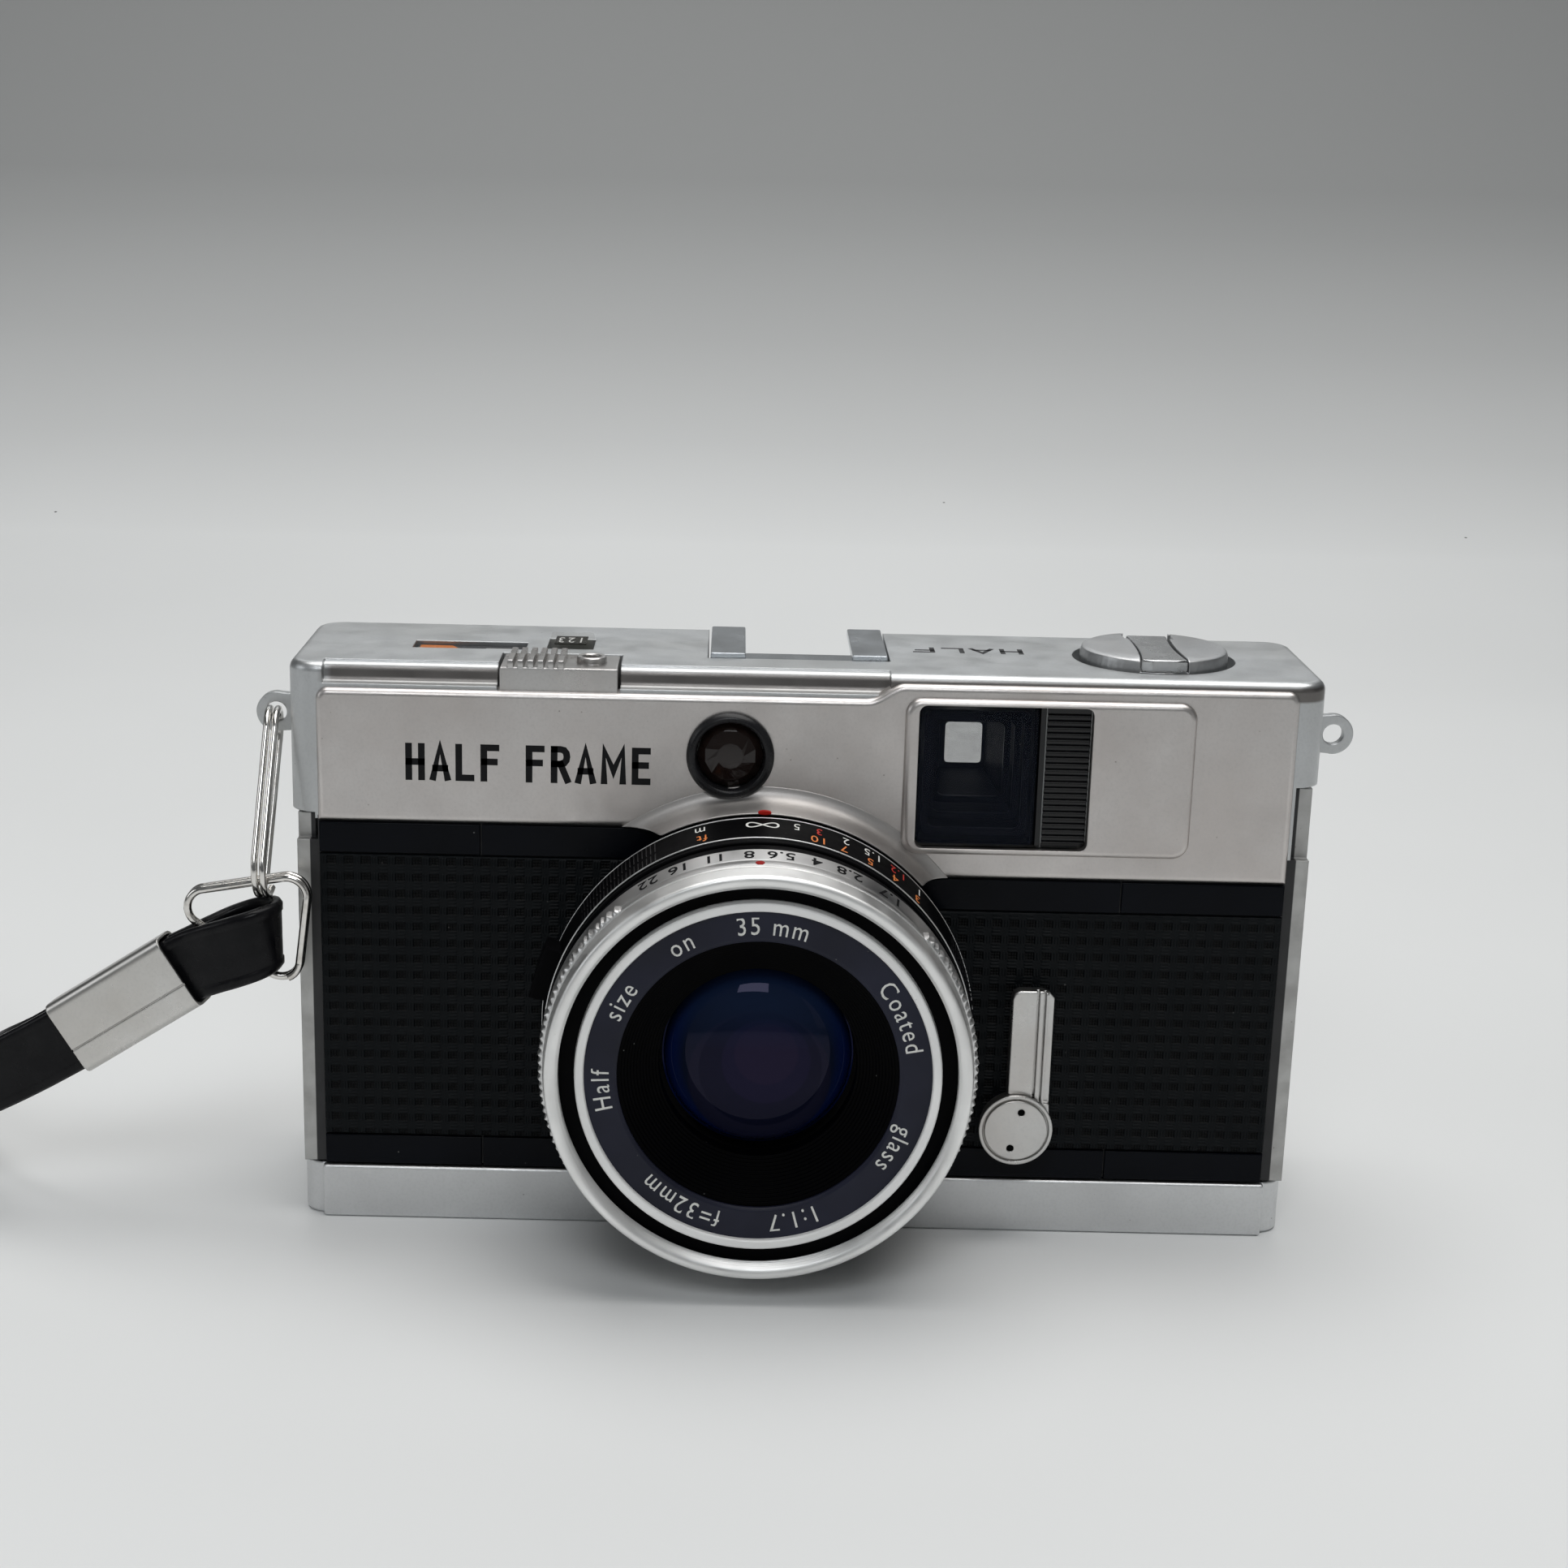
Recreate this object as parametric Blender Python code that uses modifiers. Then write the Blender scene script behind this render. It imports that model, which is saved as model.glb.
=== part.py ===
"""Half frame camera: a fixed-lens compact with a thumb-wheel advance, hot shoe and wrist strap.

Lengths are millimetres until a mesh is made, where MM turns them into metres.
+X is the rewind side, -Y the lens side, +Z up. The origin is the middle of the base.
"""

import math

import bmesh
import bpy
from mathutils import Matrix, Vector

MM = 0.001

# Driving dimensions, mm
HALF_WIDTH = 58.5                 # half the width over the top cover
HEIGHT = 66.5                     # base to the flat of the top cover
FRONT = -13.6                     # plane of the front panel
BACK = 13.4                       # outside of the back door
PANEL_HALF = 55.1                 # half the width of the raised front panel
BODY_HALF = 57.6                  # half the width of the casting and the bottom cover
SKIN = 0.8                        # sheet thickness of the covers
CASTING_FRONT = FRONT + 0.85
CASTING_TOP = 46.0
BOTTOM_TOP = 6.5                  # upper edge of the bottom cover
PANEL_LOW_LEFT, PANEL_LOW_RIGHT = 48.5, 43.3    # lower edge of the panel, each side of the lens
PANEL_TOP_LEFT = 63.8             # the panel stops here on the release side
RIM_SETBACK = 2.6                 # the top's rim stands this far back above the low panel
STEP_X = 8.8                      # where the panel steps up to full height
SKIRT_LEFT, SKIRT_RIGHT = 49.2, 54.5            # lower edge of the top cover's ends
TOP_BACK = BACK - 0.6             # outside of the top cover's rear wall
SKIN_TRIM = 0.45                  # covering and trim thickness
TRIM_Y = CASTING_FRONT - 0.15     # rear face of the front covering
LENS_X, LENS_Z = -4.75, 26.4      # optical axis
FINDER = (12.5, 32.0, 47.0, 63.5)                # finder window: x low, x high, z low, z high
SPLIT_X = 26.1                    # where the window ends and the ribbed screen starts
EYEPIECE = (17.1, 22.5, 50.2, 56.8)
CELL_X, CELL_Z = -8.5, 57.1       # light meter cell
KNOB_X, KNOB_Y, KNOB_R = 40.5, 0.15, 8.6
WELL_R = 9.4                      # well around the rewind knob
WHEEL_X, WHEEL_Y, WHEEL_R = -42.0, 2.6, 12.1
SPROCKET_X = -25.0
RELEASE = (-34.5, -21.3, FRONT + 0.95, FRONT + 8.7)   # button: x low, x high, y front, y rear
SHOE_X = -0.85                    # centre of the accessory shoe
SHOE_OUT, SHOE_IN, SHOE_GAP = 10.15, 9.3, 6.1         # half widths: outside, inside, between rails
TIMER_X, TIMER_Z = 25.4, 14.2
LUG_X, LUG_Y, LUG_Z = 60.9, FRONT + 9.0, 59.1
BATTERY_X, BATTERY_Y = 16.5, -1.5
TRIPOD_X, TRIPOD_Y = -14.0, 2.6
HINGE_X, HINGE_Y = -56.3, 11.2    # back door hinge
CRANK_PIN = 5.5                   # crank hinge, behind the knob's centre
COUNTER_X, COUNTER_Y = -27.3, 5.2
METER_X, METER_Y = -39.5, 6.6     # pivot of the meter needle
BLADE_PIN = (9.9, 3.0)            # a shutter blade's pin, from the optical axis

# Strap, mm: a flat band standing on its edge
BAND_HALF, BAND_THICK = 4.0, 1.4
LINK_FOOT = (-61.5, FRONT - 1.8, 40.2)       # lowest point of the link, where the ring hangs
STRAP_BAR = (-63.3, FRONT - 1.6, 32.7)       # side of the ring that the strap loops around
SLEEVE_RIGHT = Vector((-70.5, FRONT - 1.6, 31.1))
SLEEVE_LEFT = Vector((-84.1, FRONT + 0.4, 22.0))
STRAP_ROUTE = [
    (-81.8, -14.4, 23.5), (-84.6, -13.9, 21.7), (-90.0, -13.0, 18.4), (-96.0, -11.6, 15.0),
    (-103.0, -9.4, 11.3), (-111.0, -6.0, 7.9), (-120.0, -1.4, 5.4), (-130.0, 4.4, 4.3),
    (-140.5, 11.2, 4.25), (-150.0, 19.5, 4.25), (-156.5, 29.5, 4.25), (-158.5, 41.0, 4.25),
    (-154.5, 51.5, 4.25), (-145.5, 57.5, 4.25), (-134.5, 56.5, 4.25), (-125.0, 49.5, 4.25),
    (-118.0, 39.5, 4.25), (-112.5, 28.5, 4.4), (-107.5, 17.5, 5.8), (-102.5, 7.5, 8.6),
    (-97.5, -2.0, 12.6), (-92.3, -8.4, 16.7), (-87.2, -11.7, 20.0), (-82.9, -12.5, 22.9),
]

PARTS = "half_frame_camera"
CUTTERS = "cutters"
FLIP = {"x": (0, math.pi / 2, 0), "y": (math.pi / 2, 0, 0), "z": (0, 0, 0)}

MATERIALS = {
    # name: (colour, roughness, metallic)
    "satin_chrome": ((0.62, 0.60, 0.58), 0.35, 1.0),
    "bottom_chrome": ((0.66, 0.67, 0.69), 0.32, 1.0),
    "castings": ((0.46, 0.45, 0.43), 0.55, 0.9),
    "black_leatherette": ((0.012, 0.012, 0.014), 0.6, 0.0),
    "gloss_trim": ((0.008, 0.009, 0.013), 0.15, 0.0),
    "black_enamel": ((0.008, 0.008, 0.009), 0.25, 0.0),
    "silver_ring": ((0.72, 0.72, 0.72), 0.28, 1.0),
    "name_blue": ((0.012, 0.013, 0.022), 0.35, 0.0),
    "coated_glass": ((0.05, 0.05, 0.16), 0.03, 0.0),
    "clear_glass": ((0.75, 0.78, 0.78), 0.04, 0.0),
    "blackened_steel": ((0.03, 0.03, 0.032), 0.5, 0.6),
    "steel": ((0.55, 0.55, 0.56), 0.3, 1.0),
    "brass": ((0.6, 0.45, 0.2), 0.35, 1.0),
    "black_plastic": ((0.015, 0.015, 0.016), 0.45, 0.0),
    "orange_scale": ((0.65, 0.22, 0.05), 0.5, 0.0),
    "white_dial": ((0.7, 0.7, 0.68), 0.5, 0.0),
    "strap_vinyl": ((0.01, 0.01, 0.012), 0.4, 0.0),
}


# ---------------------------------------------------------------- helpers

def clear_scene():
    for obj in list(bpy.data.objects):
        bpy.data.objects.remove(obj, do_unlink=True)
    for name in (PARTS, CUTTERS):
        bpy.context.scene.collection.children.link(bpy.data.collections.new(name))


def material(name):
    found = bpy.data.materials.get(name)
    if found:
        return found
    colour, roughness, metallic = MATERIALS[name]
    made = bpy.data.materials.new(name)
    made.use_nodes = True
    shader = made.node_tree.nodes["Principled BSDF"]
    shader.inputs["Base Color"].default_value = (*colour, 1.0)
    shader.inputs["Roughness"].default_value = roughness
    shader.inputs["Metallic"].default_value = metallic
    return made


def add(name, data, finish=None):
    """An object in the parts collection, or in the cutters when it has no finish."""
    obj = bpy.data.objects.new(name, data)
    if finish:
        obj.data.materials.append(material(finish))
        bpy.data.collections[PARTS].objects.link(obj)
    else:
        bpy.data.collections[CUTTERS].objects.link(obj)
        obj.hide_render = True
        obj.display_type = "WIRE"
    return obj


def from_bmesh(name, bm, finish=None):
    bmesh.ops.recalc_face_normals(bm, faces=bm.faces)
    bmesh.ops.scale(bm, vec=(MM, MM, MM), verts=bm.verts)
    mesh = bpy.data.meshes.new(name)
    bm.to_mesh(mesh)
    bm.free()
    return add(name, mesh, finish)


def block(name, x, y, z, finish=None, far=None):
    """A box over three (low, high) pairs. far=(x pair, z pair) gives its +Y end its own size."""
    bm = bmesh.new()
    bmesh.ops.create_cube(bm, size=1.0)
    for v in bm.verts:
        at_far = far is not None and v.co.y > 0
        xs, zs = far if at_far else (x, z)
        v.co = (xs[v.co.x > 0], y[v.co.y > 0], zs[v.co.z > 0])
    return from_bmesh(name, bm, finish)


def cylinder(name, centre, radius, low, high, axis="z", finish=None, sides=32):
    """A cylinder along one axis between two coordinates on it."""
    bm = bmesh.new()
    bmesh.ops.create_cone(bm, cap_ends=True, segments=sides, radius1=radius, radius2=radius,
                          depth=high - low)
    middle = (low + high) / 2
    turn = {"x": Matrix.Rotation(math.pi / 2, 4, "Y"), "y": Matrix.Rotation(math.pi / 2, 4, "X"),
            "z": Matrix.Identity(4)}[axis]
    place = {"x": (middle, *centre), "y": (centre[0], middle, centre[1]), "z": (*centre, middle)}
    bmesh.ops.transform(bm, matrix=Matrix.Translation(place[axis]) @ turn, verts=bm.verts)
    return from_bmesh(name, bm, finish)


def turned(name, profile, place, axis="z", finish=None, steps=40):
    """A profile of (radius, height) points, outer side from top to bottom, turned about an axis.

    A profile that starts and ends off the axis is a ring and closes on itself.
    """
    ring = profile[0][0] > 0 and profile[-1][0] > 0
    mesh = bpy.data.meshes.new(name)
    points = [(r * MM, 0, h * MM) for r, h in profile]
    edges = [(i, i + 1) for i in range(len(points) - 1)]
    if ring:
        edges.append((len(points) - 1, 0))
    mesh.from_pydata(points, edges, [])
    obj = add(name, mesh, finish)
    obj.location = Vector(place) * MM
    obj.rotation_euler = FLIP[axis]
    screw = obj.modifiers.new("turn", "SCREW")
    screw.steps = screw.render_steps = steps
    screw.use_merge_vertices = True
    screw.merge_threshold = 0.00001
    return obj


def lens_part(name, profile, finish, steps=40):
    """A part turned about the optical axis; its heights run forwards from the front panel."""
    return turned(name, profile, (LENS_X, FRONT, LENS_Z), "y", finish, steps)


def flat(name, outline, low, high, finish=None, plane="z", holes=()):
    """A flat outline, extruded from low to high along Z, along Y as (x, z) or along X as (y, z)."""
    curve = bpy.data.curves.new(name, "CURVE")
    curve.dimensions = "2D"
    curve.fill_mode = "BOTH"
    curve.extrude = (high - low) / 2 * MM
    for ring in (outline, *holes):
        spline = curve.splines.new("POLY")
        spline.points.add(len(ring) - 1)
        spline.use_cyclic_u = True
        for point, (a, b) in zip(spline.points, ring):
            point.co = (a * MM, b * MM, 0, 1)
    drawn = bpy.data.objects.new(name + "_outline", curve)
    bpy.context.scene.collection.objects.link(drawn)
    bpy.context.view_layer.update()
    mesh = bpy.data.meshes.new_from_object(drawn.evaluated_get(bpy.context.evaluated_depsgraph_get()))
    bpy.data.objects.remove(drawn, do_unlink=True)
    middle = (low + high) / 2 * MM
    stand = {"z": Matrix.Translation((0, 0, middle)),
             "y": Matrix.Translation((0, middle, 0)) @ Matrix.Rotation(math.pi / 2, 4, "X"),
             "x": Matrix.Translation((middle, 0, 0))
                  @ Matrix(((0, 0, 1, 0), (1, 0, 0, 0), (0, 1, 0, 0), (0, 0, 0, 1)))}[plane]
    bm = bmesh.new()
    bm.from_mesh(mesh)
    bpy.data.meshes.remove(mesh)
    bmesh.ops.remove_doubles(bm, verts=bm.verts, dist=0.001 * MM)
    bmesh.ops.scale(bm, vec=(1 / MM, 1 / MM, 1 / MM), verts=bm.verts)
    stand.translation = stand.translation / MM
    bmesh.ops.transform(bm, matrix=stand, verts=bm.verts)
    return from_bmesh(name, bm, finish)


def wire(name, points, radius, finish, half_width=0.0, resolution=2):
    """A round wire along points, or a flat band on its edge when it has a half width."""
    curve = bpy.data.curves.new(name, "CURVE")
    curve.dimensions = "3D"
    curve.twist_mode = "Z_UP"
    curve.bevel_depth = radius * MM
    curve.bevel_resolution = resolution
    curve.extrude = half_width * MM
    curve.use_fill_caps = True
    spline = curve.splines.new("POLY")
    spline.points.add(len(points) - 1)
    for point, at in zip(spline.points, points):
        point.co = (*(Vector(at) * MM), 1)
    return add(name, curve, finish)


def smooth_route(points, spacing):
    """Even steps along a Catmull-Rom curve through the points."""
    knots = [Vector(p) for p in points]
    knots = [knots[0] * 2 - knots[1], *knots, knots[-1] * 2 - knots[-2]]
    fine = []
    for a, b, c, d in zip(knots, knots[1:], knots[2:], knots[3:]):
        for step in range(12):
            t = step / 12
            fine.append((b * 2 + (c - a) * t + (a * 2 - b * 5 + c * 4 - d) * t * t
                         + (b * 3 - a - c * 3 + d) * t ** 3) / 2)
    fine.append(knots[-2])
    route, travelled = [fine[0]], 0.0
    for before, after in zip(fine, fine[1:]):
        travelled += (after - before).length
        if travelled >= spacing:
            route.append(after)
            travelled = 0.0
    if (route[-1] - fine[-1]).length < spacing / 2:
        route.pop()
    return route + [fine[-1]]


def operate(obj, kind, *others):
    for other in others:
        step = obj.modifiers.new(other.name, "BOOLEAN")
        step.operation = kind
        step.object = other
        step.solver = "EXACT"
    return obj


def cut(obj, *cutters):
    return operate(obj, "DIFFERENCE", *cutters)


def join(obj, *pieces):
    return operate(obj, "UNION", *pieces)


def soften(obj, width, segments=1):
    """Small rounded edges on a sharp piece."""
    bevel = obj.modifiers.new("edges", "BEVEL")
    bevel.width = width * MM
    bevel.segments = segments
    bevel.limit_method = "ANGLE"
    bevel.angle_limit = math.radians(50)
    return obj


def rounded_rectangle(x, y, radius, corners=(1, 1, 1, 1), steps=4):
    """Outline of a rectangle; corners says which are round, from (low, low) counter-clockwise."""
    centres = [(x[0], y[0], 180), (x[1], y[0], 270), (x[1], y[1], 0), (x[0], y[1], 90)]
    outline = []
    for (cx, cy, start), round_it in zip(centres, corners):
        if not round_it:
            outline.append((cx, cy))
            continue
        ox = cx + radius if cx == x[0] else cx - radius
        oy = cy + radius if cy == y[0] else cy - radius
        for step in range(steps + 1):
            angle = math.radians(start + 90 * step / steps)
            outline.append((ox + radius * math.cos(angle), oy + radius * math.sin(angle)))
    return outline


def toothed(teeth, inner, outer, start=0.0, land=0.36):
    """Outline of a wheel with straight-sided teeth."""
    outline = []
    for tooth in range(teeth):
        middle = start + 2 * math.pi * tooth / teeth
        pitch = 2 * math.pi / teeth
        for radius, offset in ((inner, -land), (outer, -land * 0.45), (outer, land * 0.45), (inner, land)):
            angle = middle + offset * pitch
            outline.append((radius * math.cos(angle), radius * math.sin(angle)))
    return outline


def shifted(outline, x, y):
    return [(a + x, b + y) for a, b in outline]


# ---------------------------------------------------------------- body and covers

def body_casting():
    """The die-cast frame: cassette and take-up chambers, film gate and the door's hinge ears."""
    y = (CASTING_FRONT, BACK - 1.3)
    body = block("body_casting", (-BODY_HALF, BODY_HALF), y, (BOTTOM_TOP + 0.3, CASTING_TOP), "castings")
    end_y = (CASTING_FRONT + 1.2, y[1])
    join(body,
         block("left_end", (-BODY_HALF, -55.6), end_y, (CASTING_TOP - 1, SKIRT_LEFT - 0.3)),
         block("right_end", (55.6, BODY_HALF), end_y, (CASTING_TOP - 1, SKIRT_RIGHT - 0.3)),
         block("trim_wall", (-55.2, -20.5), (CASTING_FRONT, CASTING_FRONT + 1), (CASTING_TOP - 1, 48.9)))
    chamber = (9.0, 43.4)
    cut(body,
        cylinder("cassette_bay", (KNOB_X, KNOB_Y), 12.5, *chamber, sides=40),
        block("cassette_mouth", (KNOB_X - 12.4, KNOB_X + 12.4), (KNOB_Y, BACK), chamber),
        cylinder("spool_bay", (WHEEL_X, WHEEL_Y), 10.4, *chamber),
        block("spool_mouth", (WHEEL_X - 10.3, WHEEL_X + 10.3), (WHEEL_Y, BACK), chamber),
        block("film_path", (WHEEL_X, KNOB_X), (10.4, BACK), chamber),
        cylinder("sprocket_bay", (SPROCKET_X, WHEEL_Y), 6.9, *chamber),
        block("sprocket_mouth", (SPROCKET_X - 6.8, SPROCKET_X + 6.8), (WHEEL_Y, BACK), chamber),
        block("light_tunnel", (LENS_X - 12, LENS_X + 12), (CASTING_FRONT + 1.4, BACK),
              (LENS_Z - 13.5, LENS_Z + 13.5), far=((LENS_X - 9, LENS_X + 9), (LENS_Z - 12, LENS_Z + 12))),
        cylinder("shutter_mouth", (LENS_X, LENS_Z), 18.3, CASTING_FRONT - 1, CASTING_FRONT + 5, "y", sides=40),
        cylinder("battery_bay", (BATTERY_X, BATTERY_Y), 8.6, 0, 9.5),
        cylinder("tripod_bay", (TRIPOD_X, TRIPOD_Y), 4.6, 0, 10.5, sides=24),
        cylinder("spool_shaft_hole", (WHEEL_X, WHEEL_Y), 2.5, 40, 50, sides=16),
        cylinder("sprocket_shaft_hole", (SPROCKET_X, WHEEL_Y), 2.5, 40, 50, sides=16),
        cylinder("sprocket_foot_hole", (SPROCKET_X, WHEEL_Y), 2.0, 0, 12, sides=16),
        cylinder("rewind_hole", (KNOB_X, KNOB_Y), 2.5, 40, 50, sides=16),
        cylinder("hinge_hole", (HINGE_X, HINGE_Y), 0.75, 0, 60, sides=12),
        block("hinge_gap", (-60, HINGE_X + 1.7), (HINGE_Y - 1.7, BACK), (11.5, 40.5)),
        block("ear_clear", (-60, HINGE_X), (HINGE_Y, BACK), (5, 50)),
        block("latch_slot", (BODY_HALF - 1.7, 60), (-0.3, 6.3), (20.2, 33.8)),
        block("door_rebate", (BODY_HALF - 0.6, 60), (6.9, BACK), (5, CASTING_TOP + 0.4)),
        cylinder("timer_hole", (TIMER_X, TIMER_Z), 2.1, FRONT - 1, CASTING_FRONT + 3.5, "y", sides=16))
    ears = [cylinder(f"ear_{z:.0f}", (HINGE_X, HINGE_Y), 1.2, z, z + 4.4, sides=16) for z in (7.0, 40.8)]
    join(body, *ears)
    cut(body, cylinder("pin_hole", (HINGE_X, HINGE_Y), 0.75, 0, 60, sides=12))


def top_cover():
    """The pressed top cover with its raised front panel, rim step, windows and wells."""
    front_rim = FRONT + 0.9
    outer = rounded_rectangle((-HALF_WIDTH, HALF_WIDTH), (front_rim, TOP_BACK), 3.2)
    cover = flat("top_cover", outer, PANEL_LOW_RIGHT, HEIGHT, "satin_chrome")
    panel = [(-PANEL_HALF, PANEL_LOW_LEFT), (LENS_X, PANEL_LOW_LEFT), (LENS_X, PANEL_LOW_RIGHT),
             (PANEL_HALF, PANEL_LOW_RIGHT), (PANEL_HALF, 65.6), (10.9, 65.6), (6.7, PANEL_TOP_LEFT),
             (-PANEL_HALF, PANEL_TOP_LEFT)]
    bezel = rounded_rectangle((11.0, 43.6), (46.2, 64.2), 1.6)
    join(cover,
         flat("raised_panel", panel, FRONT, FRONT + 3, plane="y"),
         cylinder("lens_collar", (LENS_X, LENS_Z), 25.75, FRONT - 2.4, FRONT + 1, "y", sides=64),
         flat("finder_bezel", bezel, FRONT - 0.8, FRONT + 1, plane="y"))
    inside = rounded_rectangle((-HALF_WIDTH + SKIN, HALF_WIDTH - SKIN),
                               (FRONT + RIM_SETBACK + SKIN, TOP_BACK - SKIN), 2.6)
    cut(cover,
        flat("inside", inside, 40, HEIGHT - SKIN),
        block("inside_low", (-HALF_WIDTH + SKIN, STEP_X), (FRONT + 0.7, 0), (40, PANEL_TOP_LEFT - 0.4)),
        block("inside_high", (STEP_X - 1, HALF_WIDTH - SKIN), (FRONT + 0.7, 0), (40, HEIGHT - 1.2)),
        block("rim_step", (-70, STEP_X), (FRONT - 5, FRONT + RIM_SETBACK), (PANEL_TOP_LEFT + 0.5, 70)),
        block("below_left", (-70, LENS_X), (FRONT - 5, -5), (30, PANEL_LOW_LEFT)),
        block("below_collar", (-70, 70), (FRONT - 5, -5), (-5, PANEL_LOW_RIGHT)),
        block("below_back", (-70, 70), (-6, 20), (30, CASTING_TOP + 0.3)),
        block("below_left_end", (-70, -PANEL_HALF - 0.4), (-20, 20), (30, SKIRT_LEFT)),
        block("below_right_end", (PANEL_HALF + 0.4, 70), (-20, 20), (30, SKIRT_RIGHT)),
        cylinder("lens_opening", (LENS_X, LENS_Z), 25.1, FRONT - 5, FRONT + 3, "y", sides=64),
        block("finder_opening", FINDER[:2], (FRONT - 3, FRONT + 4), FINDER[2:]),
        cylinder("cell_opening", (CELL_X, CELL_Z), 4.6, FRONT - 3, FRONT + 3, "y", sides=24),
        block("release_opening", (RELEASE[0] - 0.3, RELEASE[1] + 0.3), (RELEASE[2] - 0.2, RELEASE[3] + 0.3),
              (57, 70)),
        block("meter_opening", (-45.5, -32.3), (-2.8, 1.6), (60, 70)),
        block("counter_opening", (-30.0, -24.6), (-1.9, 4.3), (60, 70)),
        block("shoe_recess", (SHOE_X - SHOE_OUT - 0.3, SHOE_X + SHOE_OUT + 0.3), (-5.2, 20), (62.75, 70)),
        block("wheel_slot", (WHEEL_X - 8.3, WHEEL_X + 8.3), (8, 20), (47.4, 52.4)),
        block("eyepiece_opening", (EYEPIECE[0] - 0.3, EYEPIECE[1] + 0.3), (8, 20),
              (EYEPIECE[2] - 0.3, EYEPIECE[3] + 0.3)))
    well_low = HEIGHT - 2.2
    join(cover, cylinder("well_cup", (KNOB_X, KNOB_Y), WELL_R + 0.7, well_low - 0.6, HEIGHT - 0.3, sides=40))
    cut(cover,
        cylinder("knob_well", (KNOB_X, KNOB_Y), WELL_R, well_low, 70, sides=40),
        cylinder("rewind_shaft_hole", (KNOB_X, KNOB_Y), 2.4, 60, 70, sides=16))


def bottom_cover():
    """The bottom plate, a shallow tray with the battery, tripod and rewind-release holes."""
    outer = rounded_rectangle((-BODY_HALF - 0.2, BODY_HALF + 0.2), (FRONT + 0.9, BACK), 2.4)
    tray = flat("bottom_cover", outer, 0, BOTTOM_TOP, "bottom_chrome")
    join(tray, flat("bottom_panel", rounded_rectangle((-55.4, 55.4), (FRONT, FRONT + 3), 0.8, (1, 1, 0, 0), 2),
                    0, BOTTOM_TOP))
    soften(tray, 0.35)
    inner = rounded_rectangle((-BODY_HALF + 0.6, BODY_HALF - 0.6), (FRONT + 1.4, BACK - SKIN), 1.8)
    cut(tray,
        flat("tray_inside", inner, 1.2, 20),
        cylinder("battery_hole", (BATTERY_X, BATTERY_Y), 8.9, -5, 5, sides=40),
        cylinder("tripod_hole", (TRIPOD_X, TRIPOD_Y), 5.5, -5, 5, sides=24),
        cylinder("release_hole", (SPROCKET_X, WHEEL_Y), 2.2, -5, 5, sides=16))


def trims_and_coverings():
    """The gloss strips above and below the leatherette, and the leatherette panels."""
    y = (TRIM_Y - SKIN_TRIM, TRIM_Y)
    edge = 55.0

    def beside_lens(radius, z):
        return math.sqrt(radius ** 2 - (z - LENS_Z) ** 2)

    def panel(name, side, z0, z1, finish):
        """One covering: outer edge straight, inner edge an arc around the lens mount."""
        radius = 22.8
        arc = []
        for step in range(9):
            z = z0 + (z1 - z0) * step / 8
            arc.append((LENS_X + side * beside_lens(radius, z), z))
        outline = [*arc, (side * edge, z1), (side * edge, z0)]
        flat(name, outline, *y, finish, plane="y")

    panel("trim_lower_left", -1, 6.75, 10.3, "gloss_trim")
    panel("trim_lower_right", 1, 6.75, 10.3, "gloss_trim")
    panel("trim_upper_left", -1, 44.75, PANEL_LOW_LEFT - 0.2, "gloss_trim")
    panel("trim_upper_right", 1, 39.5, PANEL_LOW_RIGHT - 0.2, "gloss_trim")
    panel("leatherette_left", -1, 10.5, 44.55, "black_leatherette")
    panel("leatherette_right", 1, 10.5, 39.3, "black_leatherette")
    cut(bpy.data.objects["leatherette_right"],
        cylinder("timer_gap", (TIMER_X, TIMER_Z), 2.1, FRONT - 1, CASTING_FRONT, "y", sides=16))


def back_door():
    """The hinged back with its knuckle, sprung pressure plate and side catch."""
    z = (7.0, CASTING_TOP - 0.2)
    door = block("back_door", (HINGE_X, BODY_HALF + 0.2), (BACK - 0.75, BACK), z, "castings")
    join(door,
         block("door_flange", (BODY_HALF + 0.2 - 0.55, BODY_HALF + 0.2), (7.2, BACK - 0.3), z),
         cylinder("knuckle", (HINGE_X, HINGE_Y), 1.35, 11.8, 40.2, sides=20),
         block("knuckle_web", (HINGE_X, HINGE_X + 1.35), (HINGE_Y, BACK - 0.3), (11.8, 40.2)))
    cut(door, cylinder("knuckle_bore", (HINGE_X, HINGE_Y), 0.75, 0, 60, sides=12))
    cylinder("hinge_pin", (HINGE_X, HINGE_Y), 0.55, 7.2, 45.0, finish="steel", sides=12)
    leather = [(-49.5, 8.2), (51.5, 8.2), (51.5, 44.6), (-49.5, 44.6)]
    flat("leatherette_back", leather, BACK + 0.15, BACK + 0.6, "black_leatherette", plane="y")
    plate = block("pressure_plate", (LENS_X - 17, LENS_X + 17), (10.85, 11.45), (LENS_Z - 17, LENS_Z + 16),
                  "blackened_steel")
    soften(plate, 0.2)
    catch = block("back_latch", (BODY_HALF - 1.4, BODY_HALF + 0.1), (0, 6.0), (23.8, 33.5), "steel")
    ridges = [block(f"catch_groove_{i}", (BODY_HALF - 0.3, 60), (-1, 7), (25 + 1.6 * i, 25.8 + 1.6 * i))
              for i in range(5)]
    cut(catch, *ridges)


# ---------------------------------------------------------------- lens

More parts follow.
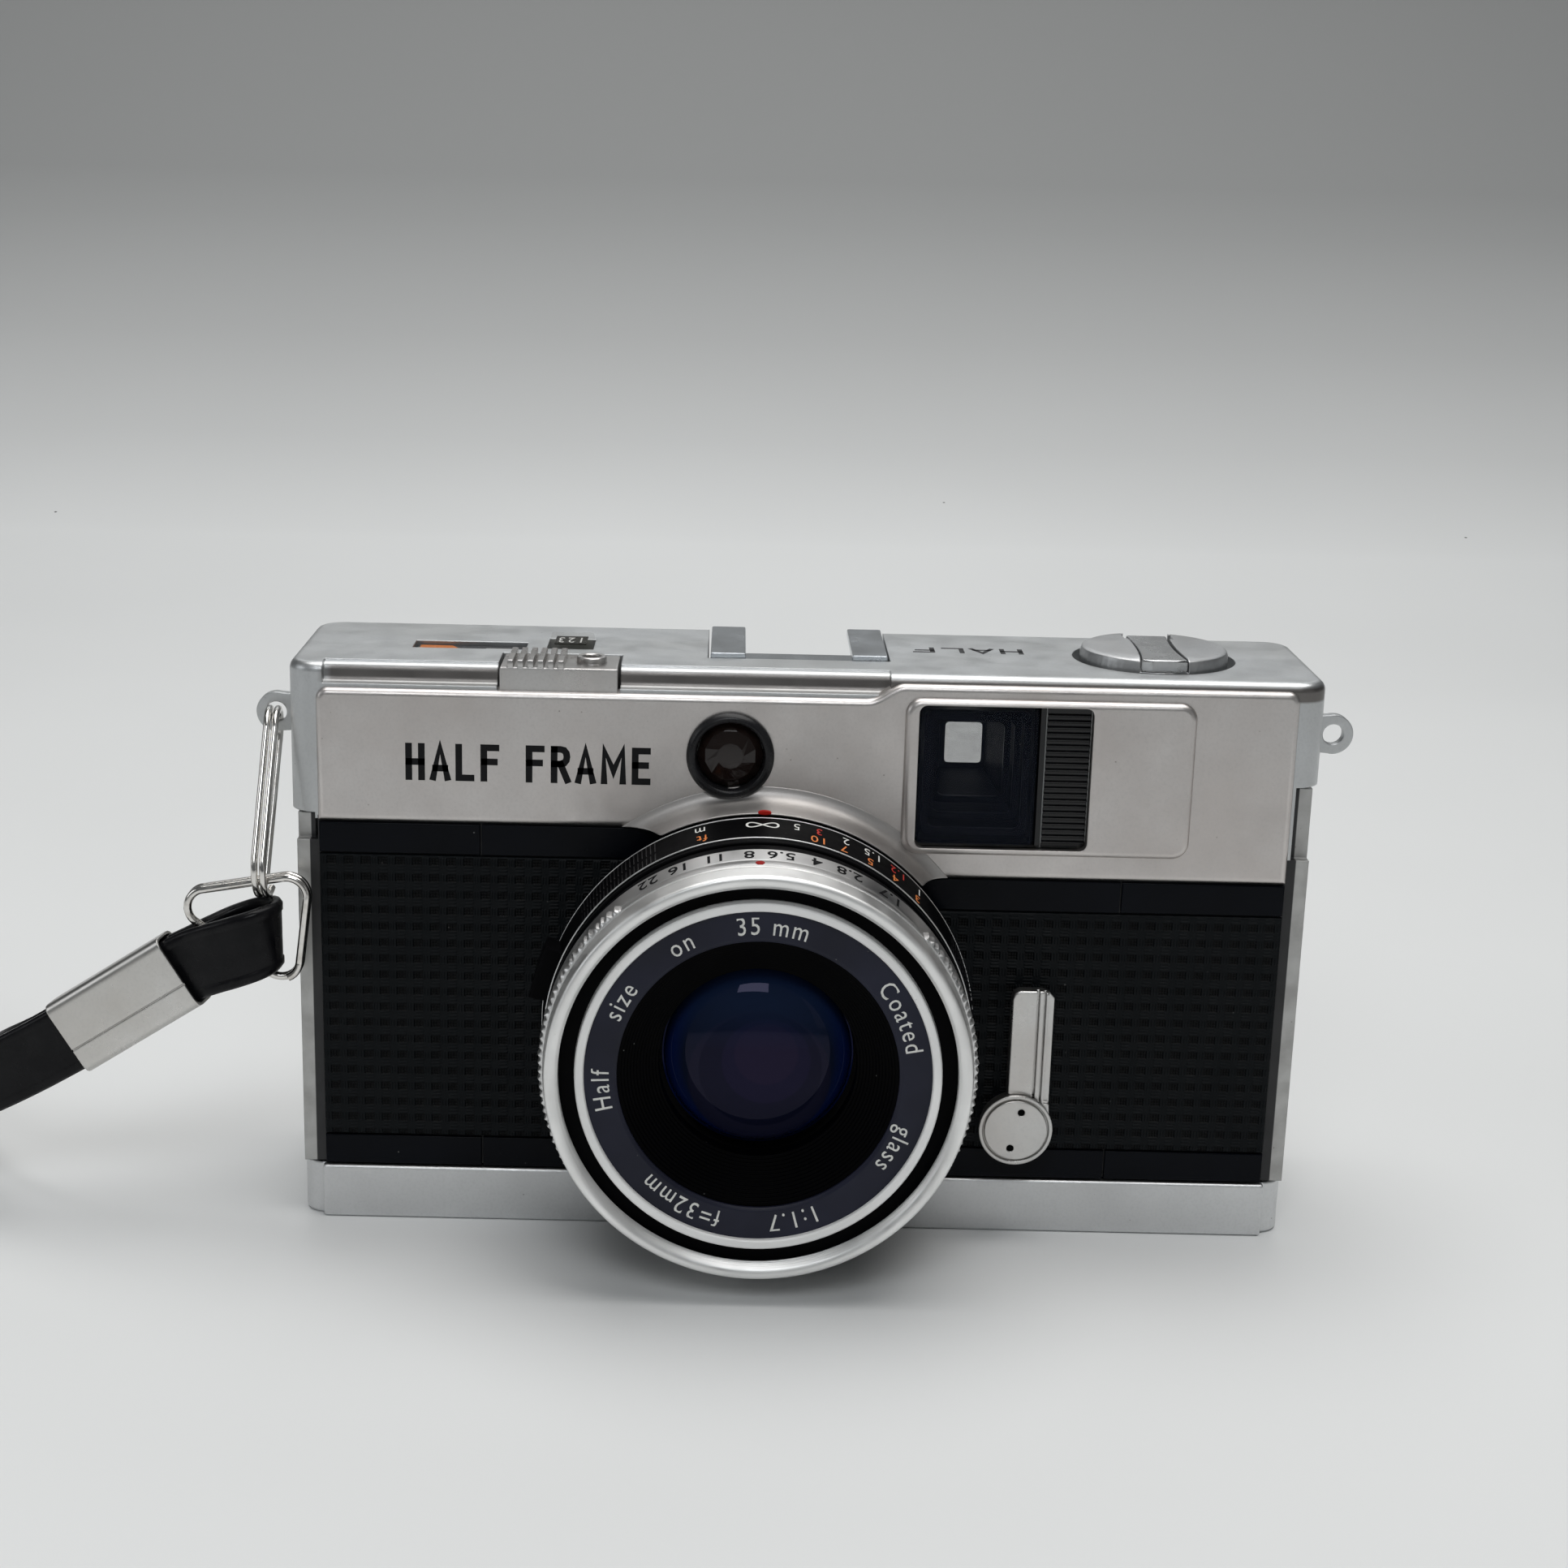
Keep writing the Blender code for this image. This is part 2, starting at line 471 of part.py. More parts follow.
def lens():
    """The lens and shutter, from the flange on the body out to the filter thread."""
    lens_part("lens_flange", [(23.9, 3.3), (23.9, 1.0), (19.4, 1.0), (19.4, -0.2), (18.0, -0.2), (18.0, -4.5),
                              (17.0, -4.5), (17.0, 3.3)], "black_enamel", 36)
    lens_part("focus_ring", [(23.9, 10.9), (24.6, 10.5), (24.6, 3.95), (24.2, 3.6), (20.2, 3.6), (20.2, 10.9)],
              "black_enamel", 44)
    lens_part("lens_barrel", [(23.5, 13.9), (23.5, 11.3), (19.8, 11.3), (19.8, 3.7), (16.6, 3.7), (16.6, -5.5),
                              (8.9, -5.5), (8.9, 1.9), (13.6, 1.9), (13.6, 13.9)], "black_enamel", 36)
    lens_part("aperture_ring", [(24.05, 19.2), (24.05, 14.2), (21.2, 14.2), (21.2, 19.2)], "silver_ring", 44)
    lens_part("filter_ring", [(23.2, 22.25), (23.9, 19.9), (23.9, 19.5), (20.5, 19.5), (20.5, 14.2), (19.9, 14.2),
                              (19.9, 20.2), (21.75, 20.2), (21.75, 22.25)], "silver_ring", 44)
    lens_part("name_ring", [(19.6, 21.3), (19.6, 14.4), (18.4, 14.4), (18.4, 20.1), (15.35, 20.1), (15.35, 20.6),
                            (18.9, 20.6), (18.9, 21.3)], "name_blue", 36)
    lens_part("front_baffle", [(17.9, 19.8), (17.9, 14.3), (10.9, 14.3), (10.9, 16.0), (15.1, 19.8)],
              "black_plastic", 32)
    dome = [(0.0, 16.6)] + [(10.6 * math.sin(a), 16.6 - 26.0 * (1 - math.cos(0.4 * a)))
                            for a in [math.pi / 2 * i / 6 for i in range(1, 7)]]
    lens_part("front_lens", [*dome, (10.6, 11.4), (0.0, 11.4)], "coated_glass", 28)
    lens_part("shutter_case", [(13.2, 9.9), (13.2, 2.2), (6.2, 2.2), (6.2, 4.4), (12.4, 4.4), (12.4, 7.4),
                               (6.2, 7.4), (6.2, 9.9)], "blackened_steel", 28)
    rear = [(0.0, 1.7), (8.6, 1.7), (8.6, -1.6), (5.7, -2.5), (0.0, -3.0)]
    lens_part("rear_lens", rear, "coated_glass", 24)
    shutter_blades()


def shutter_blades():
    """Two blades that close the light path at rest, each on its own pin."""
    for name, side, near in (("shutter_blade_upper", 1, 5.0), ("shutter_blade_lower", -1, 6.3)):
        blade = [(LENS_X + side * 7.6 * math.cos(math.pi * i / 12),
                  LENS_Z + side * (7.6 * math.sin(math.pi * i / 12) - 1.2)) for i in range(13)]
        y = (FRONT - near - 0.35, FRONT - near)
        pin_x, pin_z = LENS_X + BLADE_PIN[0] * side, LENS_Z + BLADE_PIN[1] * side
        arm = [(-6.0, 0.9), (-4.5, -2.2), (1.0, -1.2), (1.0, 1.2)]
        join(flat(name, blade, *y, "blackened_steel", plane="y"),
             flat(name + "_arm", [(pin_x + side * a, pin_z + side * b) for a, b in arm], *y, plane="y"))


# ---------------------------------------------------------------- finder, meter and top controls

def finder():
    low_x, high_x, low_z, high_z = FINDER
    tube = block("viewfinder_tube", (low_x - 0.4, SPLIT_X + 0.5), (FRONT + 1.6, TOP_BACK - 1.2),
                 (low_z - 0.5, high_z + 0.5), "black_plastic",
                 far=((EYEPIECE[0] - 1.2, EYEPIECE[1] + 1.2), (EYEPIECE[2] - 1.2, EYEPIECE[3] + 1.2)))
    cut(tube, block("finder_light", (low_x + 0.3, SPLIT_X - 0.3), (FRONT + 1, TOP_BACK), (low_z + 0.3, high_z - 0.3),
                    far=((EYEPIECE[0] + 0.2, EYEPIECE[1] - 0.2), (EYEPIECE[2] + 0.2, EYEPIECE[3] - 0.2))))
    block("viewfinder_window", (low_x + 0.15, SPLIT_X - 0.1), (FRONT + 0.3, FRONT + 1.3),
          (low_z + 0.15, high_z - 0.15), "clear_glass")
    ribs = 20
    pitch = (high_z - low_z - 1.6) / ribs
    outline = [(FRONT + 1.3, low_z + 0.15), (FRONT + 0.1, low_z + 0.15), (FRONT + 0.1, low_z + 0.8)]
    for rib in range(ribs):
        z = low_z + 0.8 + rib * pitch
        outline += [(FRONT + 0.75, z), (FRONT + 0.75, z + pitch * 0.35), (FRONT + 0.2, z + pitch * 0.5),
                    (FRONT + 0.2, z + pitch)]
    outline += [(FRONT + 0.1, high_z - 0.75), (FRONT + 0.1, high_z - 0.15), (FRONT + 1.3, high_z - 0.15)]
    flat("viewfinder_screen", outline, SPLIT_X + 0.1, high_x - 0.15, "black_plastic", plane="x")
    block("eyepiece", EYEPIECE[:2], (TOP_BACK - 0.9, BACK + 0.35), EYEPIECE[2:], "clear_glass")


def light_meter():
    """The cell behind its ringed lens, the movement and its needle over the scale."""
    place = (CELL_X, FRONT, CELL_Z)
    turned("meter_cell_bezel", [(4.2, 1.15), (4.95, 0.75), (4.95, 0.2), (4.35, 0.2), (4.35, -4.2), (3.85, -4.2),
                                (3.85, 1.15)], place, "y", "black_enamel", 32)
    turned("meter_cell_lens", [(0.0, 0.75), (2.2, 0.6), (3.6, 0.1), (3.6, -1.0), (0.0, -1.0)], place, "y",
           "clear_glass", 24)
    movement = cylinder("meter_movement", (METER_X, METER_Y), 4.4, 55.0, 63.6, finish="blackened_steel", sides=24)
    join(movement, block("meter_scale", (-46.0, -33.9), (-3.6, 3.0), (63.2, 63.7)))
    needle = [(-0.4, 1.0), (-0.6, 0.0), (-0.12, -8.2), (0.12, -8.2), (0.6, 0.0), (0.4, 1.0)]
    flat("meter_needle", shifted(needle, METER_X, METER_Y), 64.1, 64.4, "orange_scale")
    block("meter_window", (-45.35, -32.45), (-2.65, 1.45), (65.6, HEIGHT), "clear_glass")


def release():
    """The release button with its grooved face, the plunger under it and the return spring."""
    x0, x1, y0, y1 = RELEASE
    mid_x, mid_y = (x0 + x1) / 2, (y0 + y1) / 2
    button = block("release_button", (x0, x1), (y0, y1), (60.6, 67.3), "satin_chrome")
    soften(button, 0.3)
    grooves = [block(f"button_groove_{i}", (x0 + 1.2 + 0.95 * i, x0 + 1.55 + 0.95 * i), (y0 - 1, y0 + 3.0), (66.7, 70))
               for i in range(6)]
    cut(button, *grooves,
        turned("cable_socket", [(0.0, 68), (1.5, 68), (1.5, 67.0), (0.9, 66.4), (0.9, 62.0), (0.0, 62.0)],
               (x1 - 3.2, y0 + 2.8, 0), steps=20))
    join(button, cylinder("plunger", (mid_x, mid_y), 1.0, 49.5, 61.5, sides=12))
    turns, radius, around = 4, 1.9, 8
    coil = []
    for step in range(turns * around + 1):
        angle = 2 * math.pi * step / around
        coil.append((mid_x + radius * math.cos(angle), mid_y + radius * math.sin(angle),
                     46.8 + (60.0 - 46.8) * step / (turns * around)))
    wire("release_spring", coil, 0.25, "steel", resolution=1)


def counter():
    turned("counter_dial", [(0.0, 64.9), (6.2, 64.9), (6.2, 64.4), (0.9, 64.4), (0.9, 58.0), (0.0, 58.0)],
           (COUNTER_X, COUNTER_Y, 0), finish="white_dial", steps=28)
    soften(block("counter_window", (-29.85, -24.75), (-1.75, 4.15), (65.3, 67.4), "clear_glass"), 0.3)


def accessory_shoe():
    """The shoe channel, sunk in the top, with its insulated centre contact."""
    out, inn, gap, top = SHOE_OUT, SHOE_IN, SHOE_GAP, HEIGHT + 0.55
    low, bed, under = 63.0, 63.85, HEIGHT - 0.4
    outline = [(-out, low), (out, low), (out, top), (gap, top), (gap, under), (inn, under), (inn, bed),
               (-inn, bed), (-inn, under), (-gap, under), (-gap, top), (-out, top)]
    shoe = flat("hot_shoe", shifted(outline, SHOE_X, 0), -4.9, 11.2, "satin_chrome", plane="y")
    cut(shoe, cylinder("contact_hole", (SHOE_X, 3.4), 2.3, 60, 64.5, sides=20))
    cylinder("shoe_contact", (SHOE_X, 3.4), 1.9, 62.0, 64.1, finish="brass", sides=20)


def rewind():
    """The rewind knob with its fold-out crank, and the fork that turns the cassette."""
    top = HEIGHT + 1.5
    knob = turned("rewind_knob", [(0.0, top), (KNOB_R - 0.5, top), (KNOB_R, top - 0.5), (KNOB_R, 64.9), (0.0, 64.9)],
                  (KNOB_X, KNOB_Y, 0), finish="satin_chrome", steps=40)
    cut(knob, block("crank_slot", (KNOB_X - 2.75, KNOB_X + 2.75), (KNOB_Y - 12, KNOB_Y + 12), (top - 1.5, 75)))
    middle = top - 0.75
    tail = CRANK_PIN + 0.65
    crank = flat("rewind_crank", [(-8.95, middle - 0.55), (CRANK_PIN + 0.1, middle - 0.55), (tail, middle),
                                  (CRANK_PIN + 0.1, middle + 0.7), (-8.95, middle + 0.7)],
                 -2.5, 2.5, "satin_chrome", plane="x")
    for v in crank.data.vertices:
        v.co += Vector((KNOB_X, KNOB_Y, 0)) * MM
    shaft = cylinder("rewind_shaft", (KNOB_X, KNOB_Y), 2.0, 40.6, 64.6, finish="steel", sides=20)
    cut(shaft, block("fork_gap", (KNOB_X - 0.9, KNOB_X + 0.9), (KNOB_Y - 5, KNOB_Y + 5), (35, 43.0)))


# ---------------------------------------------------------------- film transport

def transport():
    """The thumb wheel, the take-up spool and the toothed sprocket, geared together."""
    wheel = flat("advance_wheel", shifted(toothed(30, WHEEL_R - 0.5, WHEEL_R, land=0.4), WHEEL_X, WHEEL_Y),
                 48.0, 51.8, "black_plastic")
    teeth = 14
    centre_gap = SPROCKET_X - WHEEL_X
    pitch_r = centre_gap / 2
    tip, root = pitch_r + 0.75, pitch_r - 1.15
    first = toothed(teeth, root, tip, land=0.31)
    second = toothed(teeth, root, tip, start=math.pi / teeth, land=0.31)
    join(wheel, flat("wheel_gear", shifted(first, WHEEL_X, WHEEL_Y), 46.4, 48.2),
         cylinder("wheel_boss", (WHEEL_X, WHEEL_Y), 3.5, 51.0, 53.5, sides=20))
    spool = turned("take_up_spool", [(0.0, 46.2), (2.1, 46.2), (2.1, 42.9), (8.6, 42.9), (8.6, 42.0), (5.2, 42.0),
                                     (5.2, 10.4), (8.6, 10.4), (8.6, 9.5), (0.0, 9.5)],
                   (WHEEL_X, WHEEL_Y, 0), finish="black_plastic", steps=28)
    cut(spool, block("film_slot", (WHEEL_X - 0.6, WHEEL_X + 0.6), (WHEEL_Y - 8, WHEEL_Y + 8), (14, 38)))
    sprocket = flat("film_sprocket", shifted(second, SPROCKET_X, WHEEL_Y), 46.4, 47.7, "black_plastic")
    film_teeth = [flat(f"film_teeth_{z}", shifted(toothed(8, 5.3, 6.5, land=0.12), SPROCKET_X, WHEEL_Y), z, z + 1.4)
                  for z in (11, 40)]
    join(sprocket, cylinder("sprocket_shaft", (SPROCKET_X, WHEEL_Y), 2.1, 9.4, 47.0, sides=16),
         cylinder("sprocket_drum", (SPROCKET_X, WHEEL_Y), 5.4, 9.9, 42.4, sides=24), *film_teeth)


def base_fittings():
    """What shows underneath: battery and its cap, tripod bush and the rewind release."""
    cylinder("battery", (BATTERY_X, BATTERY_Y), 7.8, 2.9, 8.9, finish="steel", sides=32)
    cap = cylinder("battery_cover", (BATTERY_X, BATTERY_Y), 8.5, 0.05, 2.6, finish="steel", sides=40)
    cut(cap, block("coin_slot", (BATTERY_X - 6, BATTERY_X + 6), (BATTERY_Y - 0.8, BATTERY_Y + 0.8), (-1, 1.0)))
    turned("tripod_socket", [(5.2, 1.0), (5.2, 0.0), (3.1, 0.0), (3.1, 8.5), (4.3, 8.5), (4.3, 1.0)],
           (TRIPOD_X, TRIPOD_Y, 0), finish="steel", steps=24)
    cylinder("rewind_release_button", (SPROCKET_X, WHEEL_Y), 1.7, 0.1, 6.0, finish="steel", sides=16)


# ---------------------------------------------------------------- outside fittings

def self_timer():
    """The self-timer lever and its two-hole screw, on the front beside the lens."""
    y_lever = (FRONT - 2.9, FRONT - 1.3)
    arm_low, arm_high = 24.3, 29.1
    outline = [(arm_high, TIMER_Z - 1.2), (arm_high, 30.6), (arm_high - 0.3, 30.9), (arm_low + 1.2, 30.9),
               (arm_low, 29.8), (arm_low, TIMER_Z + 3.8)]
    for step in range(13):
        angle = math.radians(100 + 245 * step / 12)
        outline.append((TIMER_X + 4.1 * math.cos(angle), TIMER_Z + 4.1 * math.sin(angle)))
    lever = flat("self_timer_lever", outline, *y_lever, "silver_ring", plane="y")
    join(lever, cylinder("timer_post", (TIMER_X, TIMER_Z), 1.6, y_lever[0] + 0.2, CASTING_FRONT + 3, "y", sides=16))
    disc = cylinder("self_timer_screw", (TIMER_X, TIMER_Z), 4.25, FRONT - 3.7, FRONT - 3.05, "y", "silver_ring")
    holes = [cylinder(f"spanner_hole_{side}", (TIMER_X, TIMER_Z + 2.6 * side), 0.45, FRONT - 5, FRONT - 3.3, "y",
                      sides=10) for side in (-1, 1)]
    cut(disc, *holes)


def lugs():
    for name, side in (("strap_lug_left", -1), ("strap_lug_right", 1)):
        centre = (side * LUG_X, LUG_Z)
        lug = cylinder(name, centre, 2.15, LUG_Y - 0.6, LUG_Y + 0.6, "y", "satin_chrome", 20)
        near, far = sorted((side * (HALF_WIDTH + 0.2), side * (LUG_X - 1.0)))
        join(lug, block(f"{name}_neck", (near, far), (LUG_Y - 0.6, LUG_Y + 0.6), (LUG_Z - 2.1, LUG_Z + 2.1)))
        cut(lug, cylinder(f"{name}_hole", centre, 1.25, LUG_Y - 3, LUG_Y + 3, "y", sides=20))


def strap_rings():
    """The oval split link in the lug and the three-cornered split ring that it carries."""
    top = Vector((-LUG_X, LUG_Y, LUG_Z + 0.1))
    foot = Vector(LINK_FOOT)
    along = (foot - top).normalized()
    across = Vector((0, 1, 0))
    across = (across - along * across.dot(along)).normalized()
    normal = along.cross(across)
    width = 3.2
    length = (foot - top).length - 2 * width
    oval = []
    arc_steps, turns = 7, 2
    for turn in range(turns):
        for half in range(2):
            for step in range(arc_steps + 1):
                angle = math.pi * step / arc_steps + math.pi * half
                share = turn + (half + step / (arc_steps + 1)) / 2
                centre = top + along * (width + (length if half else 0.0))
                offset = across * math.cos(angle) * width - along * math.sin(angle) * width
                oval.append(centre + offset + normal * (share - 1.0) * 0.95)
    wire("strap_link", oval[2:-1], 0.4, "steel")
    corners = [Vector((-73.2, 0, 39.7)), Vector((-57.6, 0, 28.6)), Vector((-55.8, 0, 42.7))]
    ring, radius = [], 2.2
    for i, corner in enumerate(corners):
        before = (corners[i - 1] - corner).normalized()
        after = (corners[(i + 1) % 3] - corner).normalized()
        half_angle = before.angle(after) / 2
        start = corner + before * radius / math.tan(half_angle)
        end = corner + after * radius / math.tan(half_angle)
        centre = corner + (before + after).normalized() * radius / math.sin(half_angle)
        for step in range(7):
            ring.append(centre + ((start - centre) * (1 - step / 6) + (end - centre) * step / 6).normalized() * radius)
    path = ring[10:] + ring[:] + ring[:3]
    front, pitch = FRONT - 2.45, 1.0
    path = [p + Vector((0, front + pitch * i / len(ring), 0)) for i, p in enumerate(path)]
    wire("strap_ring", path, 0.47, "steel")


def strap():
    """The wrist strap: a clamp sleeve, the short loop through the ring and the wrist loop."""
    along = (SLEEVE_RIGHT - SLEEVE_LEFT).normalized()
    side = Vector((0, 0, 1)).cross(along).normalized()
    up = along.cross(side)
    length = (SLEEVE_RIGHT - SLEEVE_LEFT).length
    frame = Matrix((along, side, up)).transposed().to_4x4()
    frame.translation = (SLEEVE_LEFT + SLEEVE_RIGHT) / 2 * MM
    edge = [(-2.4, -3.8), (-1.7, -4.6), (1.7, -4.6), (2.4, -3.8), (2.4, 3.8), (1.7, 4.6), (-1.7, 4.6), (-2.4, 3.8)]
    room = [(a * 0.87, b * 0.93) for a, b in edge]
    sleeve = flat("strap_sleeve", edge, -length / 2, length / 2, "steel", plane="x", holes=[room])
    sleeve.matrix_world = frame
    tab = [(-3.2, -0.33, -2.14), (-1.0, -0.66, -0.67), (1.0, -1.05, 0.6), (3.4, -2.0, 1.75), (5.8, -2.7, 2.7),
           (8.3, -2.7, 3.6), (10.1, -1.7, 4.2), (10.8, 0.0, 4.4), (10.1, 1.7, 4.2), (8.3, 2.7, 3.6),
           (5.8, 2.6, 2.7), (3.4, 1.7, 1.75), (1.0, 0.75, 0.6), (-1.0, 0.95, -0.67), (-3.2, 1.28, -2.14)]
    points = [SLEEVE_RIGHT + Vector((u, v, w)) for u, v, w in tab]
    radius = BAND_THICK / 2
    wire("strap_tab", smooth_route(points, 1.3), radius, "strap_vinyl", BAND_HALF - radius, 1)
    wire("wrist_strap", smooth_route(STRAP_ROUTE, 5.5), radius, "strap_vinyl", BAND_HALF - radius, 1)


# ---------------------------------------------------------------- pivots

def pivots():
    """An empty on the axis of each joint, which carries the pieces that move with it."""
    lens = (LENS_X, FRONT, LENS_Z)
    blade_x, blade_z = BLADE_PIN
    lens_unit = ("lens_barrel", "shutter_case", "front_lens", "rear_lens", "front_baffle", "name_ring",
                 "filter_ring")
    strap_pieces = ("strap_tab", "strap_sleeve", "wrist_strap")
    crank_z = HEIGHT + 0.75
    table = {
        "back_door_pivot": ((HINGE_X, HINGE_Y, 0), None, ("back_door", "leatherette_back", "pressure_plate")),
        "back_latch_pivot": ((BODY_HALF, 3.0, 33.5), None, ("back_latch",)),
        "focus_pivot": (lens, None, ("focus_ring",)),
        "lens_unit_pivot": (lens, None, lens_unit),
        "aperture_pivot": (lens, "lens_unit_pivot", ("aperture_ring",)),
        "upper_blade_pivot": ((LENS_X + blade_x, FRONT, LENS_Z + blade_z), "lens_unit_pivot",
                              ("shutter_blade_upper",)),
        "lower_blade_pivot": ((LENS_X - blade_x, FRONT, LENS_Z - blade_z), "lens_unit_pivot",
                              ("shutter_blade_lower",)),
        "release_pivot": ((RELEASE[0], RELEASE[2], HEIGHT), None, ("release_button",)),
        "rewind_pivot": ((KNOB_X, KNOB_Y, HEIGHT), None, ("rewind_knob", "rewind_shaft")),
        "crank_pivot": ((KNOB_X, KNOB_Y + CRANK_PIN, crank_z), "rewind_pivot", ("rewind_crank",)),
        "wheel_pivot": ((WHEEL_X, WHEEL_Y, 50.0), None, ("advance_wheel",)),
        "spool_pivot": ((WHEEL_X, WHEEL_Y, 10.0), None, ("take_up_spool",)),
        "sprocket_pivot": ((SPROCKET_X, WHEEL_Y, 10.0), None, ("film_sprocket",)),
        "counter_pivot": ((COUNTER_X, COUNTER_Y, 64.4), None, ("counter_dial",)),
        "rewind_release_pivot": ((SPROCKET_X, WHEEL_Y, 0), None, ("rewind_release_button",)),
        "needle_pivot": ((METER_X, METER_Y, 64.1), None, ("meter_needle",)),
        "battery_cover_pivot": ((BATTERY_X, BATTERY_Y, 0), None, ("battery_cover",)),
        "timer_pivot": ((TIMER_X, FRONT, TIMER_Z), None, ("self_timer_lever", "self_timer_screw")),
        "link_pivot": ((-LUG_X, LUG_Y, LUG_Z), None, ("strap_link",)),
        "ring_pivot": (LINK_FOOT, "link_pivot", ("strap_ring",)),
        "strap_pivot": (STRAP_BAR, "ring_pivot", strap_pieces),
    }
    for name, (place, carrier, pieces) in table.items():
        pivot = bpy.data.objects.new(name, None)
        bpy.data.collections[PARTS].objects.link(pivot)
        pivot.location = Vector(place) * MM
        if carrier:
            pivot.parent = bpy.data.objects[carrier]
            pivot.location -= Vector(table[carrier][0]) * MM
        for piece in pieces:
            obj = bpy.data.objects[piece]
            obj.parent = pivot
            obj.matrix_parent_inverse = Matrix.Translation(Vector(place) * -MM)


def main():
    clear_scene()
    body_casting()
    top_cover()
    bottom_cover()
    trims_and_coverings()
    back_door()
    lens()
    finder()
    light_meter()
    release()
    counter()
    accessory_shoe()
    rewind()
    transport()
    base_fittings()
    self_timer()
    lugs()
    strap_rings()
    strap()
    pivots()


main()
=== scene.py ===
"""Half frame camera: the visible pieces, their finishes, the studio and the view.

Lengths are millimetres in the camera's own axes until a mesh is made: +X rewind side, -Y lens side,
+Z up. Distances named t run forwards from the front panel.
"""

import math

import bmesh
import bpy
from mathutils import Matrix, Vector


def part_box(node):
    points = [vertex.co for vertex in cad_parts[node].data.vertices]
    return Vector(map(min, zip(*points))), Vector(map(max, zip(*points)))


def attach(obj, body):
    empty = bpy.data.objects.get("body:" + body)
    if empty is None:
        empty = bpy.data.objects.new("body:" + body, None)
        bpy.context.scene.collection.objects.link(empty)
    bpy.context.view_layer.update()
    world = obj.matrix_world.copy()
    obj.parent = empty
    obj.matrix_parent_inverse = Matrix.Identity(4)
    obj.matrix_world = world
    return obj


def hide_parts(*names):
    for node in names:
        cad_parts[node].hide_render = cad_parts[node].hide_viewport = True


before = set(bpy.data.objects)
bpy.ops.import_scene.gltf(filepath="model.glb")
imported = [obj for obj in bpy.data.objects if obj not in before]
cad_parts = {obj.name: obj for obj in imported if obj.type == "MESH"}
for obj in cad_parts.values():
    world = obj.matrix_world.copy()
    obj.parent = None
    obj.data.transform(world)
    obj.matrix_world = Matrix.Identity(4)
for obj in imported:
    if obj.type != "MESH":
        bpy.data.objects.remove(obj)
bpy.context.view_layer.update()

MM = 0.001


def span(node):
    """Lowest and highest corner of a CAD node, in mm."""
    low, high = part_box(node)
    return Vector(low) / MM, Vector(high) / MM


COVER_LOW, COVER_HIGH = span("top_cover")
BASE_LOW, BASE_HIGH = span("bottom_cover")
RING_LOW, RING_HIGH = span("focus_ring")
WINDOW_LOW, WINDOW_HIGH = span("viewfinder_window")
SCREEN_LOW, SCREEN_HIGH = span("viewfinder_screen")
CELL_LOW, CELL_HIGH = span("meter_cell_bezel")
KNOB_LOW, KNOB_HIGH = span("rewind_knob")
BUTTON_LOW, BUTTON_HIGH = span("release_button")
SHOE_LOW, SHOE_HIGH = span("hot_shoe")
DISC_LOW, DISC_HIGH = span("self_timer_screw")

FRONT = BASE_LOW.y                          # plane of the front panel
LENS_X, LENS_Z = (RING_LOW.x + RING_HIGH.x) / 2, (RING_LOW.z + RING_HIGH.z) / 2
TOP = COVER_HIGH.z
HALF_WIDTH = COVER_HIGH.x
PANEL_HALF = HALF_WIDTH - 3.4
PANEL_LOW_LEFT, PANEL_LOW_RIGHT = 48.5, 43.3
PANEL_TOP_LEFT, PANEL_TOP_RIGHT = 63.8, 65.6
STEP_LEFT, STEP_RIGHT = 6.7, 10.9           # the panel steps up between these
CELL_X, CELL_Z = (CELL_LOW.x + CELL_HIGH.x) / 2, (CELL_LOW.z + CELL_HIGH.z) / 2
KNOB_X, KNOB_Y = (KNOB_LOW.x + KNOB_HIGH.x) / 2, (KNOB_LOW.y + KNOB_HIGH.y) / 2
SHOE_X = (SHOE_LOW.x + SHOE_HIGH.x) / 2
TIMER_X, TIMER_Z = (DISC_LOW.x + DISC_HIGH.x) / 2, (DISC_LOW.z + DISC_HIGH.z) / 2

COOL, COOL_WORN = (0.60, 0.615, 0.625), (0.54, 0.55, 0.55)   # plating of the covers, and where handled

# Strap, mm: a flat band on its edge; the route repeats the CAD's own points
BAND_HALF, BAND_THICK = 4.0, 1.4
SLEEVE_RIGHT = Vector((-70.5, FRONT - 1.6, 31.1))
SLEEVE_LEFT = Vector((-84.1, FRONT + 0.4, 22.0))
STRAP_ROUTE = [
    (-81.8, -14.4, 23.5), (-84.6, -13.9, 21.7), (-90.0, -13.0, 18.4), (-96.0, -11.6, 15.0),
    (-103.0, -9.4, 11.3), (-111.0, -6.0, 7.9), (-120.0, -1.4, 5.4), (-130.0, 4.4, 4.3),
    (-140.5, 11.2, 4.25), (-150.0, 19.5, 4.25), (-156.5, 29.5, 4.25), (-158.5, 41.0, 4.25),
    (-154.5, 51.5, 4.25), (-145.5, 57.5, 4.25), (-134.5, 56.5, 4.25), (-125.0, 49.5, 4.25),
    (-118.0, 39.5, 4.25), (-112.5, 28.5, 4.4), (-107.5, 17.5, 5.8), (-102.5, 7.5, 8.6),
    (-97.5, -2.0, 12.6), (-92.3, -8.4, 16.7), (-87.2, -11.7, 20.0), (-82.9, -12.5, 22.9),
]


# ---------------------------------------------------------------- view, studio

